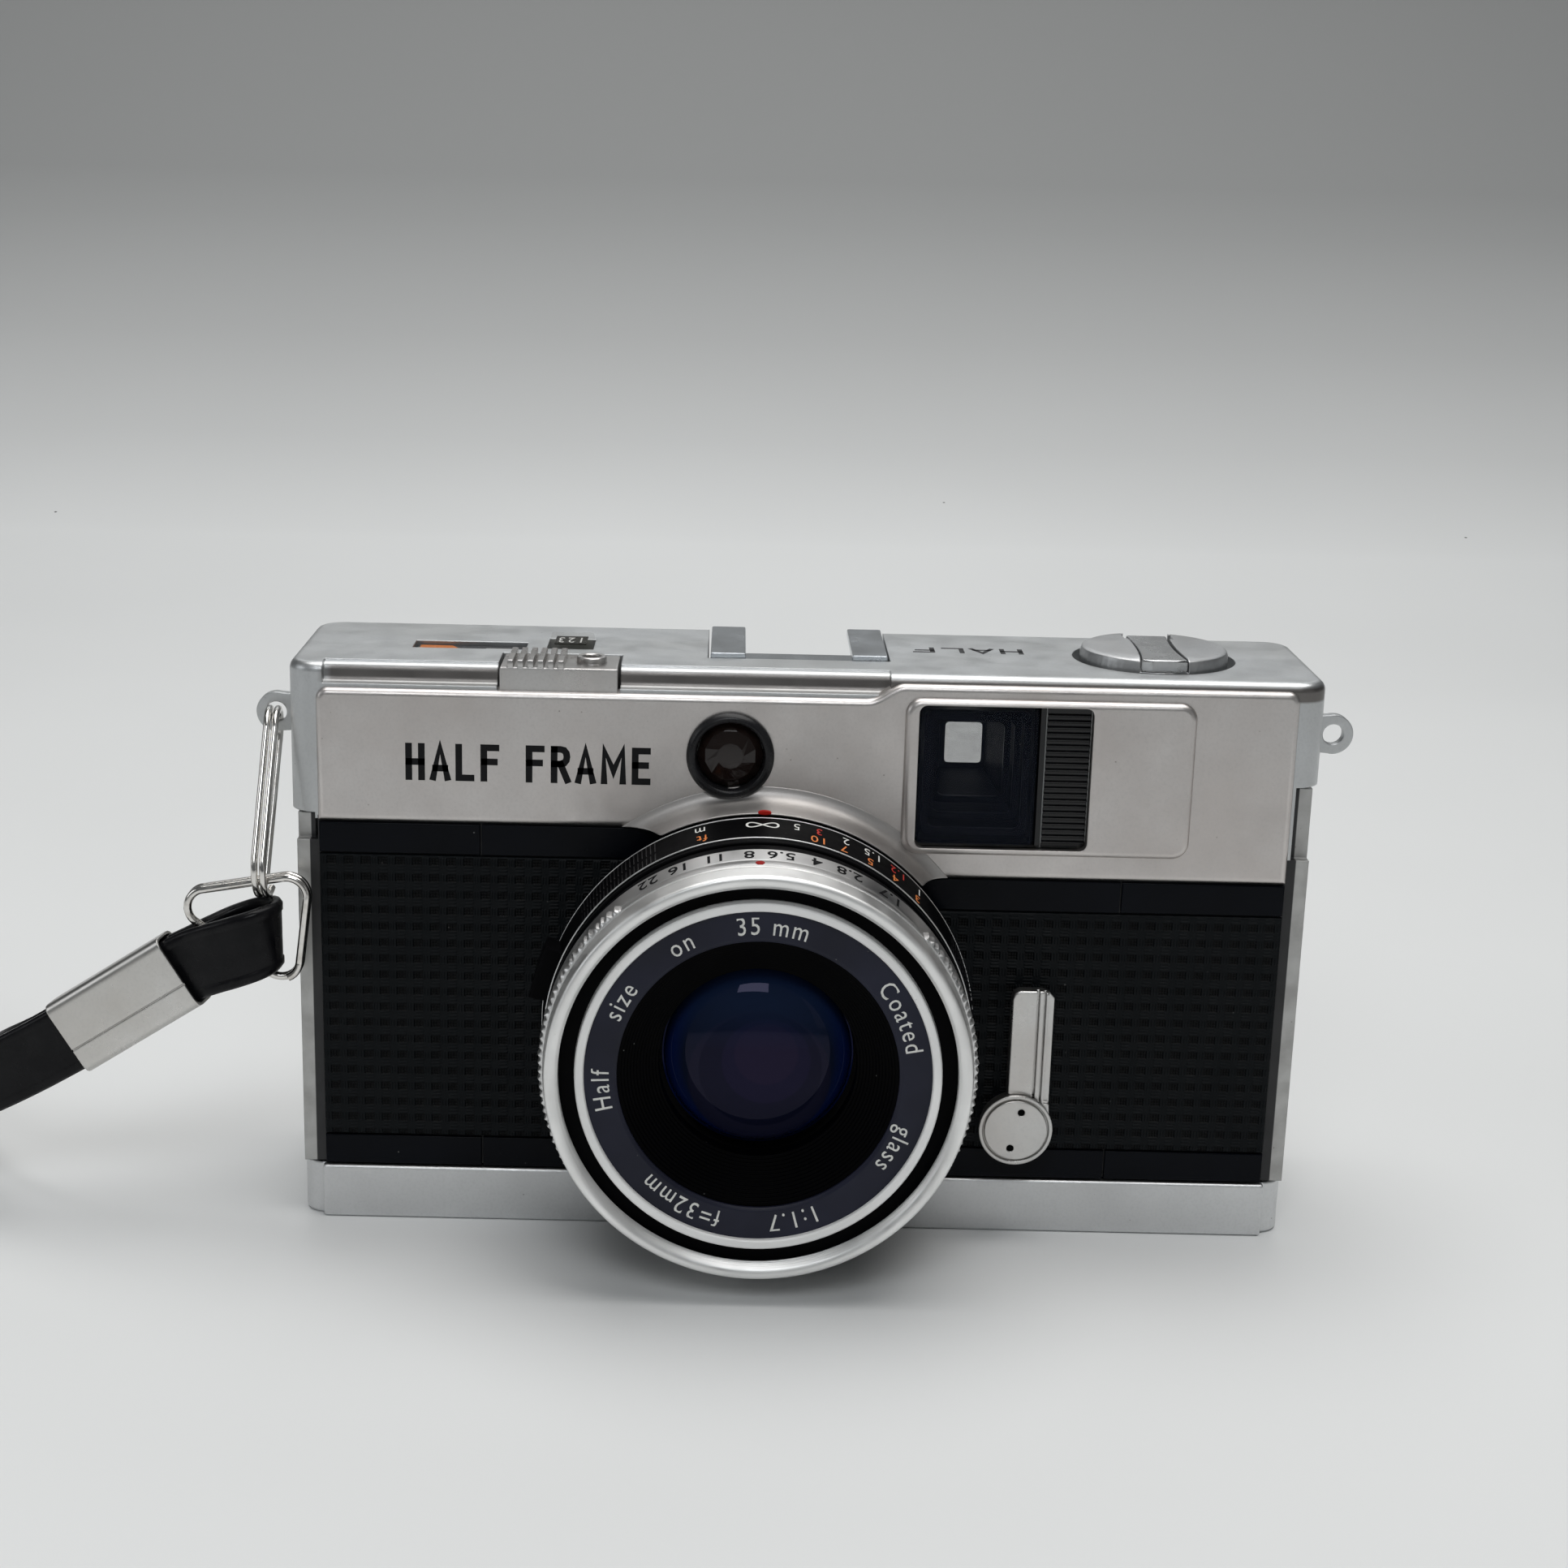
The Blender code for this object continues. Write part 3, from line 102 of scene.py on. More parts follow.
def view():
    """The camera at the photographer's place, a little above and in front."""
    azimuth, elevation, roll, distance = 0.0020, 0.2782, 0.0213, 295.70
    target = Vector((-9.463, FRONT, 44.537))
    back = Vector((math.sin(azimuth) * math.cos(elevation), -math.cos(azimuth) * math.cos(elevation),
                   math.sin(elevation)))
    right = Vector((math.cos(azimuth), math.sin(azimuth), 0))
    up = back.cross(right)
    x = right * math.cos(roll) + up * math.sin(roll)
    y = up * math.cos(roll) - right * math.sin(roll)
    lens = bpy.data.cameras.new("view")
    lens.sensor_width = 36.0
    lens.lens = 59.72
    lens.shift_x, lens.shift_y = 0.0412, 0.0502
    lens.clip_start = 0.01
    eye = bpy.data.objects.new("view", lens)
    bpy.context.scene.collection.objects.link(eye)
    matrix = Matrix((x, y, back)).transposed().to_4x4()
    matrix.translation = (target + back * distance) * MM
    eye.matrix_world = matrix
    bpy.context.scene.camera = eye


def lamp(name, place, aim, width, height, power, colour=(1, 1, 1)):
    light = bpy.data.lights.new(name, "AREA")
    light.shape = "RECTANGLE"
    light.size, light.size_y = width, height
    light.energy = power
    light.color = colour
    obj = bpy.data.objects.new(name, light)
    bpy.context.scene.collection.objects.link(obj)
    obj.location = place
    obj.rotation_euler = (Vector(aim) - Vector(place)).to_track_quat("-Z", "Y").to_euler()


def studio():
    """A pale sweep that runs from the floor up to a wall, under large soft lights."""
    half, front, bend, radius, height = 1.6, -1.2, 0.30, 0.45, 1.6
    profile = [(front, 0.0), (bend * 0.5, 0.0), (bend, 0.0)]
    for step in range(1, 13):
        angle = math.pi / 2 * step / 12
        profile.append((bend + radius * math.sin(angle), radius * (1 - math.cos(angle))))
    profile.append((bend + radius, height))
    verts = [(side * half, y, z) for y, z in profile for side in (-1, 1)]
    faces = [(2 * i, 2 * i + 1, 2 * i + 3, 2 * i + 2) for i in range(len(profile) - 1)]
    mesh = bpy.data.meshes.new("sweep")
    mesh.from_pydata(verts, [], faces)
    mesh.polygons.foreach_set("use_smooth", [True] * len(faces))
    sweep = bpy.data.objects.new("sweep", mesh)
    bpy.context.scene.collection.objects.link(sweep)
    mesh.materials.append(paper())
    world = bpy.data.worlds.new("studio")
    bpy.context.scene.world = world
    world.use_nodes = True
    world.node_tree.nodes["Background"].inputs["Color"].default_value = (0.80, 0.84, 0.86, 1)
    world.node_tree.nodes["Background"].inputs["Strength"].default_value = 0.13
    lamp("overhead", (0.05, 0.06, 0.75), (0, 0, 0), 0.75, 0.55, 4.9, (1.0, 0.99, 0.975))
    lamp("window_light", (-0.06, -0.64, 0.60), (0, 0, 0.03), 0.34, 0.26, 1.4, (0.95, 0.975, 1.0))
    lamp("right_fill", (0.75, -0.55, 0.30), (0, 0, 0.03), 0.45, 0.45, 0.14, (1.0, 0.97, 0.94))
    lamp("left_fill", (-0.8, -0.2, 0.35), (0, 0, 0.03), 0.4, 0.4, 0.62, (0.96, 0.98, 1.0))
    lamp("top_sheen", (0.0, 0.50, 0.42), (0, 0, 0.06), 0.7, 0.26, 0.46, (0.97, 0.99, 1.0))
    bpy.context.scene.view_settings.view_transform = "Standard"


# ---------------------------------------------------------------- finishes

class Finish:
    """A Principled material with short calls for its procedural nodes. Scales are in mm."""

    def __init__(self, name, colour, roughness, metallic=0.0, **constants):
        self.material = bpy.data.materials.new(name)
        self.material.use_nodes = True
        self.tree = self.material.node_tree
        self.shader = self.tree.nodes["Principled BSDF"]
        self.coords = self.node("ShaderNodeTexCoord").outputs["Object"]
        self.normal = None
        self.set("Base Color", (*colour, 1.0))
        self.set("Roughness", roughness)
        self.set("Metallic", metallic)
        for socket, value in constants.items():
            self.set(socket.replace("_", " "), value)

    def node(self, kind, **settings):
        made = self.tree.nodes.new(kind)
        for name, value in settings.items():
            setattr(made, name, value)
        return made

    def link(self, output, socket):
        self.tree.links.new(output, socket)
        return output

    def set(self, socket, value):
        target = self.shader.inputs[socket]
        if isinstance(value, bpy.types.NodeSocket):
            self.link(value, target)
        else:
            target.default_value = value

    def stretched(self, stretch):
        mapping = self.node("ShaderNodeMapping")
        mapping.inputs["Scale"].default_value = stretch
        self.link(self.coords, mapping.inputs["Vector"])
        return mapping.outputs["Vector"]

    def noise(self, size, detail=3.0, roughness=0.5, stretch=(1, 1, 1)):
        made = self.node("ShaderNodeTexNoise")
        self.link(self.stretched(stretch), made.inputs["Vector"])
        made.inputs["Scale"].default_value = 1 / (size * MM)
        made.inputs["Detail"].default_value = detail
        made.inputs["Roughness"].default_value = roughness
        return made.outputs["Fac"]

    def cells(self, size, feature="F1", stretch=(1, 1, 1)):
        made = self.node("ShaderNodeTexVoronoi", feature=feature)
        self.link(self.stretched(stretch), made.inputs["Vector"])
        made.inputs["Scale"].default_value = 1 / (size * MM)
        return made.outputs["Distance"]

    def ramp(self, factor, low, high, start=0.0, end=1.0):
        """factor from start..end mapped to low..high, held outside."""
        made = self.node("ShaderNodeMapRange", clamp=True)
        self.link(factor, made.inputs["Value"])
        for name, value in (("From Min", start), ("From Max", end), ("To Min", low), ("To Max", high)):
            made.inputs[name].default_value = value
        return made.outputs["Result"]

    def maths(self, kind, a, b=0.5):
        made = self.node("ShaderNodeMath", operation=kind)
        for socket, value in zip(made.inputs, (a, b)):
            if isinstance(value, bpy.types.NodeSocket):
                self.link(value, socket)
            else:
                socket.default_value = value
        return made.outputs[0]

    def axis(self, which):
        made = self.node("ShaderNodeSeparateXYZ")
        self.link(self.coords, made.inputs[0])
        return self.maths("MULTIPLY", made.outputs[which], 1 / MM)

    def mix(self, factor, a, b):
        made = self.node("ShaderNodeMix", data_type="RGBA")
        for socket, value in ((made.inputs["Factor"], factor), (made.inputs[6], a), (made.inputs[7], b)):
            if isinstance(value, bpy.types.NodeSocket):
                self.link(value, socket)
            else:
                socket.default_value = value if isinstance(value, float) else (*value, 1.0)
        return made.outputs[2]

    def round_edges(self, radius):
        """Light catches the edges as if they were rounded by this radius."""
        made = self.node("ShaderNodeBevel", samples=6)
        made.inputs["Radius"].default_value = radius * MM
        self.normal = made.outputs["Normal"]

    def bump(self, height, depth, strength=1.0):
        made = self.node("ShaderNodeBump")
        made.inputs["Strength"].default_value = strength
        made.inputs["Distance"].default_value = depth * MM
        self.link(height, made.inputs["Height"])
        if self.normal:
            self.link(self.normal, made.inputs["Normal"])
        self.normal = made.outputs["Normal"]

    def done(self):
        if self.normal:
            self.link(self.normal, self.shader.inputs["Normal"])
        return self.material


def paper():
    """Matt pale paper, a little uneven, with scattered specks of dust, and painted shade where it rises towards the
    wall.
    """
    made = Finish("paper_sweep", (0.72, 0.73, 0.73), 0.75)
    cloud = made.noise(240, 3)
    tone = made.mix(made.ramp(cloud, 0.0, 1.0, 0.3, 0.7), (0.70, 0.71, 0.71), (0.75, 0.76, 0.76))
    # Painted shade: the paper darkens where the sweep rises towards the wall.
    rise = made.ramp(made.axis(1), 0.0, 1.0, 410.0, 590.0)
    tone = made.mix(rise, tone, (0.31, 0.315, 0.315))
    speck = made.ramp(made.cells(34), 1.0, 0.0, 0.008, 0.014)
    sparse = made.ramp(made.noise(60, 1), 0.0, 1.0, 0.52, 0.56)
    made.set("Base Color", made.mix(made.maths("MULTIPLY", speck, sparse), tone, (0.12, 0.12, 0.12)))
    made.bump(made.noise(0.8, 4), 0.03, 0.25)
    return made.done()


def satin_chrome(name, colour, warm, grain=0.02, roughness=(0.27, 0.42), specks=0.6, groove=None):
    """Blasted and plated brass: fine grain, clouding, dark specks, and painted shade in a groove (depth, foot, lip)."""
    made = Finish(name, colour, 0.35, 1.0)
    cloud = made.noise(14, 4, 0.6)
    tone = made.mix(made.ramp(cloud, 0.0, 1.0, 0.35, 0.65), colour, warm)
    fine = made.noise(0.35, 2)
    tone = made.mix(made.ramp(fine, 0.0, 0.35, 0.45, 0.75), tone, tuple(c * 0.8 for c in colour))
    spots = made.ramp(made.cells(1.7), 1.0, 0.0, 0.03, 0.075)
    gate = made.ramp(made.noise(5, 2), 0.0, specks, 0.5, 0.62)
    tone = made.mix(made.maths("MULTIPLY", spots, gate), tone, (0.16, 0.14, 0.12))
    if groove:
        # Painted shade: the groove under the cover's top edge is darkened in colour, fading out at its left end and
        # towards the lip.
        depth, foot, lip = groove
        inside = made.maths("MULTIPLY", made.ramp(made.axis(1), 1.0, 0.0, depth - 0.15, depth + 0.1),
                            made.ramp(made.axis(2), 0.0, 1.0, foot, foot + 0.3))
        inside = made.maths("MULTIPLY", inside, made.ramp(made.axis(0), 0.0, 1.0, -55.0, -53.5))
        inside = made.maths("MULTIPLY", inside, made.ramp(made.axis(2), 0.85, 0.0, lip - 0.35, lip))
        tone = made.mix(inside, tone, (0.13, 0.115, 0.105))
    made.set("Base Color", tone)
    made.set("Roughness", made.ramp(made.noise(6, 5, 0.65), roughness[0], roughness[1], 0.3, 0.7))
    made.round_edges(0.22)
    made.bump(made.noise(0.16, 2), grain, 0.35)
    return made.done()


def cast_metal():
    """Bare die casting at the ends, rubbed and speckled, with black paint over the film side."""
    made = Finish("cast_ends", (0.40, 0.40, 0.395), 0.45, 0.9)
    wear = made.noise(3.2, 4, 0.55)
    tone = made.mix(made.ramp(wear, 0.0, 1.0, 0.4, 0.68), (0.46, 0.46, 0.45), (0.40, 0.395, 0.385))
    spots = made.ramp(made.cells(0.9), 1.0, 0.0, 0.05, 0.12)
    gate = made.ramp(made.noise(4.1, 3), 0.0, 0.8, 0.54, 0.64)
    tone = made.mix(made.maths("MULTIPLY", spots, gate), tone, (0.10, 0.095, 0.08))
    paint = made.maths("MULTIPLY", made.ramp(made.maths("ABSOLUTE", made.axis(0)), 1.0, 0.0, 56.1, 56.2),
                       made.ramp(made.axis(1), 1.0, 0.0, 12.41, 12.46))
    made.set("Base Color", made.mix(paint, tone, (0.012, 0.012, 0.013)))
    made.set("Metallic", made.ramp(paint, 0.9, 0.0))
    made.set("Roughness", made.ramp(wear, 0.38, 0.55, 0.35, 0.65))
    made.round_edges(0.2)
    made.bump(made.noise(0.4, 3), 0.02, 0.4)
    return made.done()


def leatherette():
    """Black vinyl embossed with a grid of small pits, each crossed by fine lines; its colour carries painted shade in
    the pits and painted highlight on the raised lands and lines.
    """
    made = Finish("leatherette", (0.008, 0.008, 0.009), 0.5, 0.0, Specular_IOR_Level=0.10)
    pitch = 1.95

    def wave(which, period, start, end):
        phase = made.maths("FRACT", made.maths("DIVIDE", made.axis(which), period))
        fold = made.maths("ABSOLUTE", made.maths("SUBTRACT", phase, 0.5))
        return made.ramp(fold, 0.0, 1.0, start, end)

    across, upward = wave(0, pitch, 0.20, 0.30), wave(2, pitch, 0.16, 0.26)
    land = made.maths("MAXIMUM", across, upward)
    lines = made.maths("MULTIPLY", wave(0, pitch / 6, 0.12, 0.34), made.maths("SUBTRACT", 1.0, upward))
    threads = made.maths("MULTIPLY", wave(2, pitch / 5, 0.12, 0.34), made.maths("SUBTRACT", 1.0, across))
    relief = made.maths("ADD", land, made.maths("MULTIPLY", made.maths("ADD", lines, threads), 0.32))
    wobble = made.maths("MULTIPLY", made.noise(0.5, 3), 0.35)
    made.bump(made.maths("ADD", relief, wobble), 0.24, 1.0)
    # Painted shade and highlight: the colour follows the relief, darker in the pits and lighter on the raised lands and
    # lines.
    tone = made.mix(made.ramp(relief, 0.0, 1.0, 0.2, 1.1), (0.0002, 0.0003, 0.0005), (0.0042, 0.0055, 0.0066))
    dust = made.ramp(made.cells(2.6), 1.0, 0.0, 0.02, 0.05)
    gate = made.ramp(made.noise(9, 2), 0.0, 0.5, 0.5, 0.6)
    made.set("Base Color", made.mix(made.maths("MULTIPLY", dust, gate), tone, (0.22, 0.22, 0.21)))
    made.set("Roughness", made.ramp(made.noise(4, 4), 0.36, 0.56, 0.3, 0.7))
    return made.done()


def gloss_black(name, colour, dust=0.35, roughness=(0.12, 0.24), scratches=0.02, shine=0.25, **constants):
    """Black enamel or plastic with fine hairlines and a little dust."""
    made = Finish(name, colour, 0.18, Specular_IOR_Level=shine, **constants)
    motes = made.ramp(made.cells(2.2), 1.0, 0.0, 0.018, 0.05)
    gate = made.ramp(made.noise(7, 3), 0.0, dust, 0.5, 0.62)
    tone = made.mix(made.ramp(made.noise(11, 4), 0.0, 1.0, 0.35, 0.7), colour, tuple(c * 1.7 for c in colour))
    made.set("Base Color", made.mix(made.maths("MULTIPLY", motes, gate), tone, (0.35, 0.35, 0.34)))
    made.set("Roughness", made.ramp(made.noise(3, 5, 0.7), roughness[0], roughness[1], 0.3, 0.7))
    made.round_edges(0.12)
    made.bump(made.noise(0.9, 4, 0.6, (1, 1, 6)), scratches, 0.35)
    return made.done()


def machined(name, colour, roughness=(0.2, 0.34), metallic=1.0):
    """Turned bright metal with faint tool lines around the lens axis."""
    made = Finish(name, colour, 0.28, metallic)
    tone = made.mix(made.ramp(made.noise(9, 4), 0.0, 1.0, 0.35, 0.65), colour, tuple(c * 0.88 for c in colour))
    spots = made.ramp(made.cells(1.5), 1.0, 0.0, 0.03, 0.08)
    gate = made.ramp(made.noise(4, 2), 0.0, 0.6, 0.52, 0.64)
    made.set("Base Color", made.mix(made.maths("MULTIPLY", spots, gate), tone, (0.22, 0.18, 0.14)))
    made.set("Roughness", made.ramp(made.noise(3, 4), roughness[0], roughness[1], 0.3, 0.7))
    made.round_edges(0.12)
    made.bump(made.noise(0.3, 2, 0.5, (0.15, 5, 0.15)), 0.003, 0.2)
    return made.done()


def bright_wire(name="nickel_wire"):
    made = Finish(name, (0.72, 0.70, 0.67), 0.16, 1.0)
    wear = made.noise(2.2, 5, 0.6)
    made.set("Base Color", made.mix(made.ramp(wear, 0.0, 1.0, 0.52, 0.8), (0.74, 0.72, 0.69), (0.44, 0.40, 0.35)))
    made.set("Roughness", made.ramp(wear, 0.12, 0.30, 0.4, 0.75))
    made.bump(made.noise(0.3, 3), 0.015, 0.4)
    return made.done()


def strap_vinyl():
    """Black glossy vinyl with fine pores and a faint crease pattern."""
    made = Finish("strap_vinyl", (0.006, 0.006, 0.007), 0.28, 0.0, Specular_IOR_Level=0.14, Coat_Weight=0.04,
                  Coat_Roughness=0.2)
    pores = made.cells(0.55)
    made.set("Base Color", made.mix(made.ramp(made.noise(3, 5), 0.0, 1.0, 0.4, 0.7), (0.003, 0.003, 0.004),
                                    (0.007, 0.007, 0.008)))
    made.set("Roughness", made.ramp(made.noise(1.8, 5), 0.2, 0.42, 0.3, 0.7))
    made.bump(pores, 0.05, 0.25)
    made.bump(made.noise(5, 4), 0.15, 0.3)
    return made.done()


def from_axis(made, x, z):
    """Distance from an axis parallel to the lens's, in mm."""
    across = made.maths("SUBTRACT", made.axis(0), x)
    upward = made.maths("SUBTRACT", made.axis(2), z)
    square = made.maths("ADD", made.maths("MULTIPLY", across, across), made.maths("MULTIPLY", upward, upward))
    return made.maths("SQRT", square)


def coated_glass():
    """The front lens: dark glass, bluer towards its rim, with painted reflections: violet, brown and blue discs of the
    coated surfaces one behind another, and a painted blue sky reflection over its upper part.
    """
    made = Finish("coated_glass", (0.004, 0.005, 0.016), 0.03, 0.0, IOR=1.45, Specular_IOR_Level=0.13,
                  Coat_Weight=0.05, Coat_Roughness=0.02)
    tone = made.mix(made.ramp(from_axis(made, LENS_X, LENS_Z), 0.0, 1.0, 8.2, 9.6), (0.006, 0.009, 0.022),
                    (0.003, 0.010, 0.062))
    # Painted reflections: offset discs of colour stand in for the inner coated surfaces reflecting light.
    inner_reflections = ((0.2, -2.0, 8.0, (0.011, 0.011, 0.025)), (0.3, -0.9, 6.9, (0.004, 0.005, 0.015)),
              (0.9, 0.2, 5.0, (0.009, 0.008, 0.026)), (0.9, 1.1, 3.6, (0.014, 0.010, 0.028)))
    for dx, dz, radius, colour in inner_reflections:
        inside = made.ramp(from_axis(made, LENS_X + dx, LENS_Z + dz), 0.85, 0.0, radius - 0.25, radius)
        tone = made.mix(inside, tone, colour)
    # Painted reflection: the upper part turns bluer, a sky reflection.
    sky_reflection = made.ramp(made.axis(2), 0.0, 0.75, LENS_Z + 1.5, LENS_Z + 7.0)
    made.set("Base Color", made.mix(sky_reflection, tone, (0.010, 0.020, 0.050)))
    made.set("Specular Tint", (0.62, 0.55, 1.0, 1.0))
    dust = made.ramp(made.cells(1.1), 1.0, 0.0, 0.015, 0.05)
    gate = made.ramp(made.noise(3, 2), 0.0, 0.6, 0.5, 0.6)
    made.set("Roughness", made.ramp(made.maths("MULTIPLY", dust, gate), 0.03, 0.6))
    return made.done()


def clear_glass(name, tint, roughness=0.03, alpha=0.35, shine=0.2):
    """Thin clear glass or acrylic with slight smears."""
    made = Finish(name, tint, roughness, 0.0, IOR=1.49, Specular_IOR_Level=shine)
    smear = made.noise(2.5, 5, 0.7, (1, 1, 3))
    made.set("Roughness", made.ramp(smear, roughness, roughness + 0.16, 0.35, 0.75))
    made.set("Alpha", made.ramp(smear, alpha * 0.85, alpha * 1.15, 0.3, 0.7))
    made.set("Base Color", made.mix(made.ramp(smear, 0.0, 1.0, 0.4, 0.7), tint, tuple(c * 0.85 for c in tint)))
    return made.done()


def printed(name, colour, shine=0.4):
    """Paint in engraved marks, slightly worn."""
    made = Finish(name, colour, shine, Specular_IOR_Level=0.15)
    wear = made.noise(0.5, 4, 0.7)
    made.set("Base Color", made.mix(made.ramp(wear, 0.0, 0.6, 0.45, 0.75), colour, tuple(c * 0.6 for c in colour)))
    made.set("Roughness", made.ramp(wear, shine * 0.7, min(1.0, shine * 1.4), 0.3, 0.7))
    return made.done()


# ---------------------------------------------------------------- mesh tools

def finished(name, bm, finish, body, nodes=(), crease=35.0):
    """A piece from a bmesh in mm: smooth but for its sharp edges, riding on its body."""
    bmesh.ops.recalc_face_normals(bm, faces=bm.faces)
    bmesh.ops.scale(bm, vec=(MM, MM, MM), verts=bm.verts)
    limit = math.radians(crease)
    for face in bm.faces:
        face.smooth = True
    for edge in bm.edges:
        edge.smooth = edge.is_manifold and edge.calc_face_angle(0.0) < limit
    mesh = bpy.data.meshes.new(name)
    bm.to_mesh(mesh)
    bm.free()
    mesh.materials.append(finish)
    obj = bpy.data.objects.new(name, mesh)
    bpy.context.scene.collection.objects.link(obj)
    weight = obj.modifiers.new("even_normals", "WEIGHTED_NORMAL")
    weight.keep_sharp = True
    weight.weight = 80
    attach(obj, body)
    if nodes:
        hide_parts(*nodes)
    return obj


def lathe_mesh(profile, centre, steps=128, arc=(0.0, 360.0), closed=True, edge=None):
    """Turn (radius, t) points about the lens direction. edge(angle, i) adds to point i's radius."""
    bm = bmesh.new()
    full = abs(arc[1] - arc[0]) >= 360.0
    count = steps if full else steps + 1
    rings = []
    for step in range(count):
        angle = math.radians(arc[0] + (arc[1] - arc[0]) * step / steps)
        ring = []
        for i, (r, t) in enumerate(profile):
            r = r + (edge(angle, i) if edge else 0.0)
            ring.append(bm.verts.new((centre[0] + r * math.sin(angle), FRONT - t,
                                      centre[1] + r * math.cos(angle))))
        rings.append(ring)
    pairs = list(zip(rings, rings[1:])) + ([(rings[-1], rings[0])] if full else [])
    spans = len(profile) if closed else len(profile) - 1
    for a, b in pairs:
        for i in range(spans):
            j = (i + 1) % len(profile)
            bm.faces.new((a[i], a[j], b[j], b[i]))
    if not full and closed:
        bm.faces.new(rings[0])
        bm.faces.new(rings[-1][::-1])
    bmesh.ops.remove_doubles(bm, verts=bm.verts, dist=0.0005)
    return bm


def eased(profile, radius=0.15, steps=3, closed=True):
    """Round every corner of a profile by radius, or by less where a side is short."""
    rounded = []
    count = len(profile)
    for i, point in enumerate(profile):
        here = Vector(point)
        if not closed and i in (0, count - 1):
            rounded.append(tuple(here))
            continue
        before, after = Vector(profile[i - 1]) - here, Vector(profile[(i + 1) % count]) - here
        reach = min(radius, before.length * 0.45, after.length * 0.45)
        start, end = here + before.normalized() * reach, here + after.normalized() * reach
        for step in range(steps + 1):
            s = step / steps
            rounded.append(tuple(start * (1 - s) ** 2 + here * 2 * s * (1 - s) + end * s ** 2))
    return rounded


def rounded_box(x, z, radius, steps=6):
    """Outline of a rectangle with round corners, counter-clockwise from the low corner."""
    outline = []
    corners = ((x[0] + radius, z[0] + radius, 180), (x[1] - radius, z[0] + radius, 270),
               (x[1] - radius, z[1] - radius, 0), (x[0] + radius, z[1] - radius, 90))
    for cx, cz, start in corners:
        for step in range(steps + 1):
            angle = math.radians(start + 90 * step / steps)
            outline.append((cx + radius * math.cos(angle), cz + radius * math.sin(angle)))
    return outline


def circle(x, z, radius, steps=48):
    return [(x + radius * math.cos(2 * math.pi * i / steps), z + radius * math.sin(2 * math.pi * i / steps))
            for i in range(steps)]


PLANES = {
    "z": Matrix.Identity(4),                                              # outline is (x, y)
    "y": Matrix(((1, 0, 0, 0), (0, 0, -1, FRONT), (0, 1, 0, 0), (0, 0, 0, 1))),   # (x, z), height is t
    "x": Matrix(((0, 0, 1, 0), (1, 0, 0, 0), (0, 1, 0, 0), (0, 0, 0, 1))),    # (y, z), height is x
}


def slab_mesh(outline, low, high, plane="y", holes=(), edge=0.2, both=False, steps=3):
    """An extruded outline whose rims are rounded by edge; heights run along -Y, +Z or +X."""
    curve = bpy.data.curves.new("outline", "CURVE")
    curve.dimensions = "2D"
    curve.fill_mode = "BOTH"
    curve.extrude = (high - low) / 2
    for ring in (outline, *holes):
        spline = curve.splines.new("POLY")
        spline.points.add(len(ring) - 1)
        spline.use_cyclic_u = True
        for point, (a, b) in zip(spline.points, ring):
            point.co = (a, b, 0, 1)
    drawn = bpy.data.objects.new("outline", curve)
    bpy.context.scene.collection.objects.link(drawn)
    bpy.context.view_layer.update()
    mesh = bpy.data.meshes.new_from_object(drawn.evaluated_get(bpy.context.evaluated_depsgraph_get()))
    bpy.data.objects.remove(drawn, do_unlink=True)
    bpy.data.curves.remove(curve)
    bm = bmesh.new()
    bm.from_mesh(mesh)
    bpy.data.meshes.remove(mesh)
    bmesh.ops.remove_doubles(bm, verts=bm.verts, dist=0.0005)
    middle = (low + high) / 2
    half = (high - low) / 2
    bmesh.ops.dissolve_limit(bm, angle_limit=math.radians(0.5), verts=bm.verts, edges=bm.edges)
    rims = [e for e in bm.edges if e.is_manifold and e.calc_face_angle(0.0) > math.radians(60)
            and all((v.co.z > 0) or both for v in e.verts)
            and all(abs(abs(v.co.z) - half) < 0.001 for v in e.verts)
            and (e.verts[0].co.z > 0) == (e.verts[1].co.z > 0)]
    if edge and rims:
        bmesh.ops.bevel(bm, geom=rims, offset=edge, segments=steps, profile=0.5, affect="EDGES",
                        clamp_overlap=True)
    bmesh.ops.translate(bm, vec=(0, 0, middle), verts=bm.verts)
    bmesh.ops.transform(bm, matrix=PLANES[plane], verts=bm.verts)
    return bm


def loft_mesh(sections):
    """Closed rings of equal length, joined in turn and capped at both ends."""
    bm = bmesh.new()
    rings = [[bm.verts.new(p) for p in ring] for ring in sections]
    for a, b in zip(rings, rings[1:]):
        for i in range(len(a)):
            j = (i + 1) % len(a)
            bm.faces.new((a[i], a[j], b[j], b[i]))
    bm.faces.new(rings[0][::-1])
    bm.faces.new(rings[-1])
    return bm


def merged(*meshes):
    """One bmesh that holds them all."""
    whole = meshes[0]
    for other in meshes[1:]:
        mesh = bpy.data.meshes.new("part")
        other.to_mesh(mesh)
        other.free()
        whole.from_mesh(mesh)
        bpy.data.meshes.remove(mesh)
    return whole


def box_mesh(x, y, z, edge=0.1):
    outline = [(x[0], y[0]), (x[1], y[0]), (x[1], y[1]), (x[0], y[1])]
    return slab_mesh(outline, z[0], z[1], "z", edge=edge, both=True, steps=2)


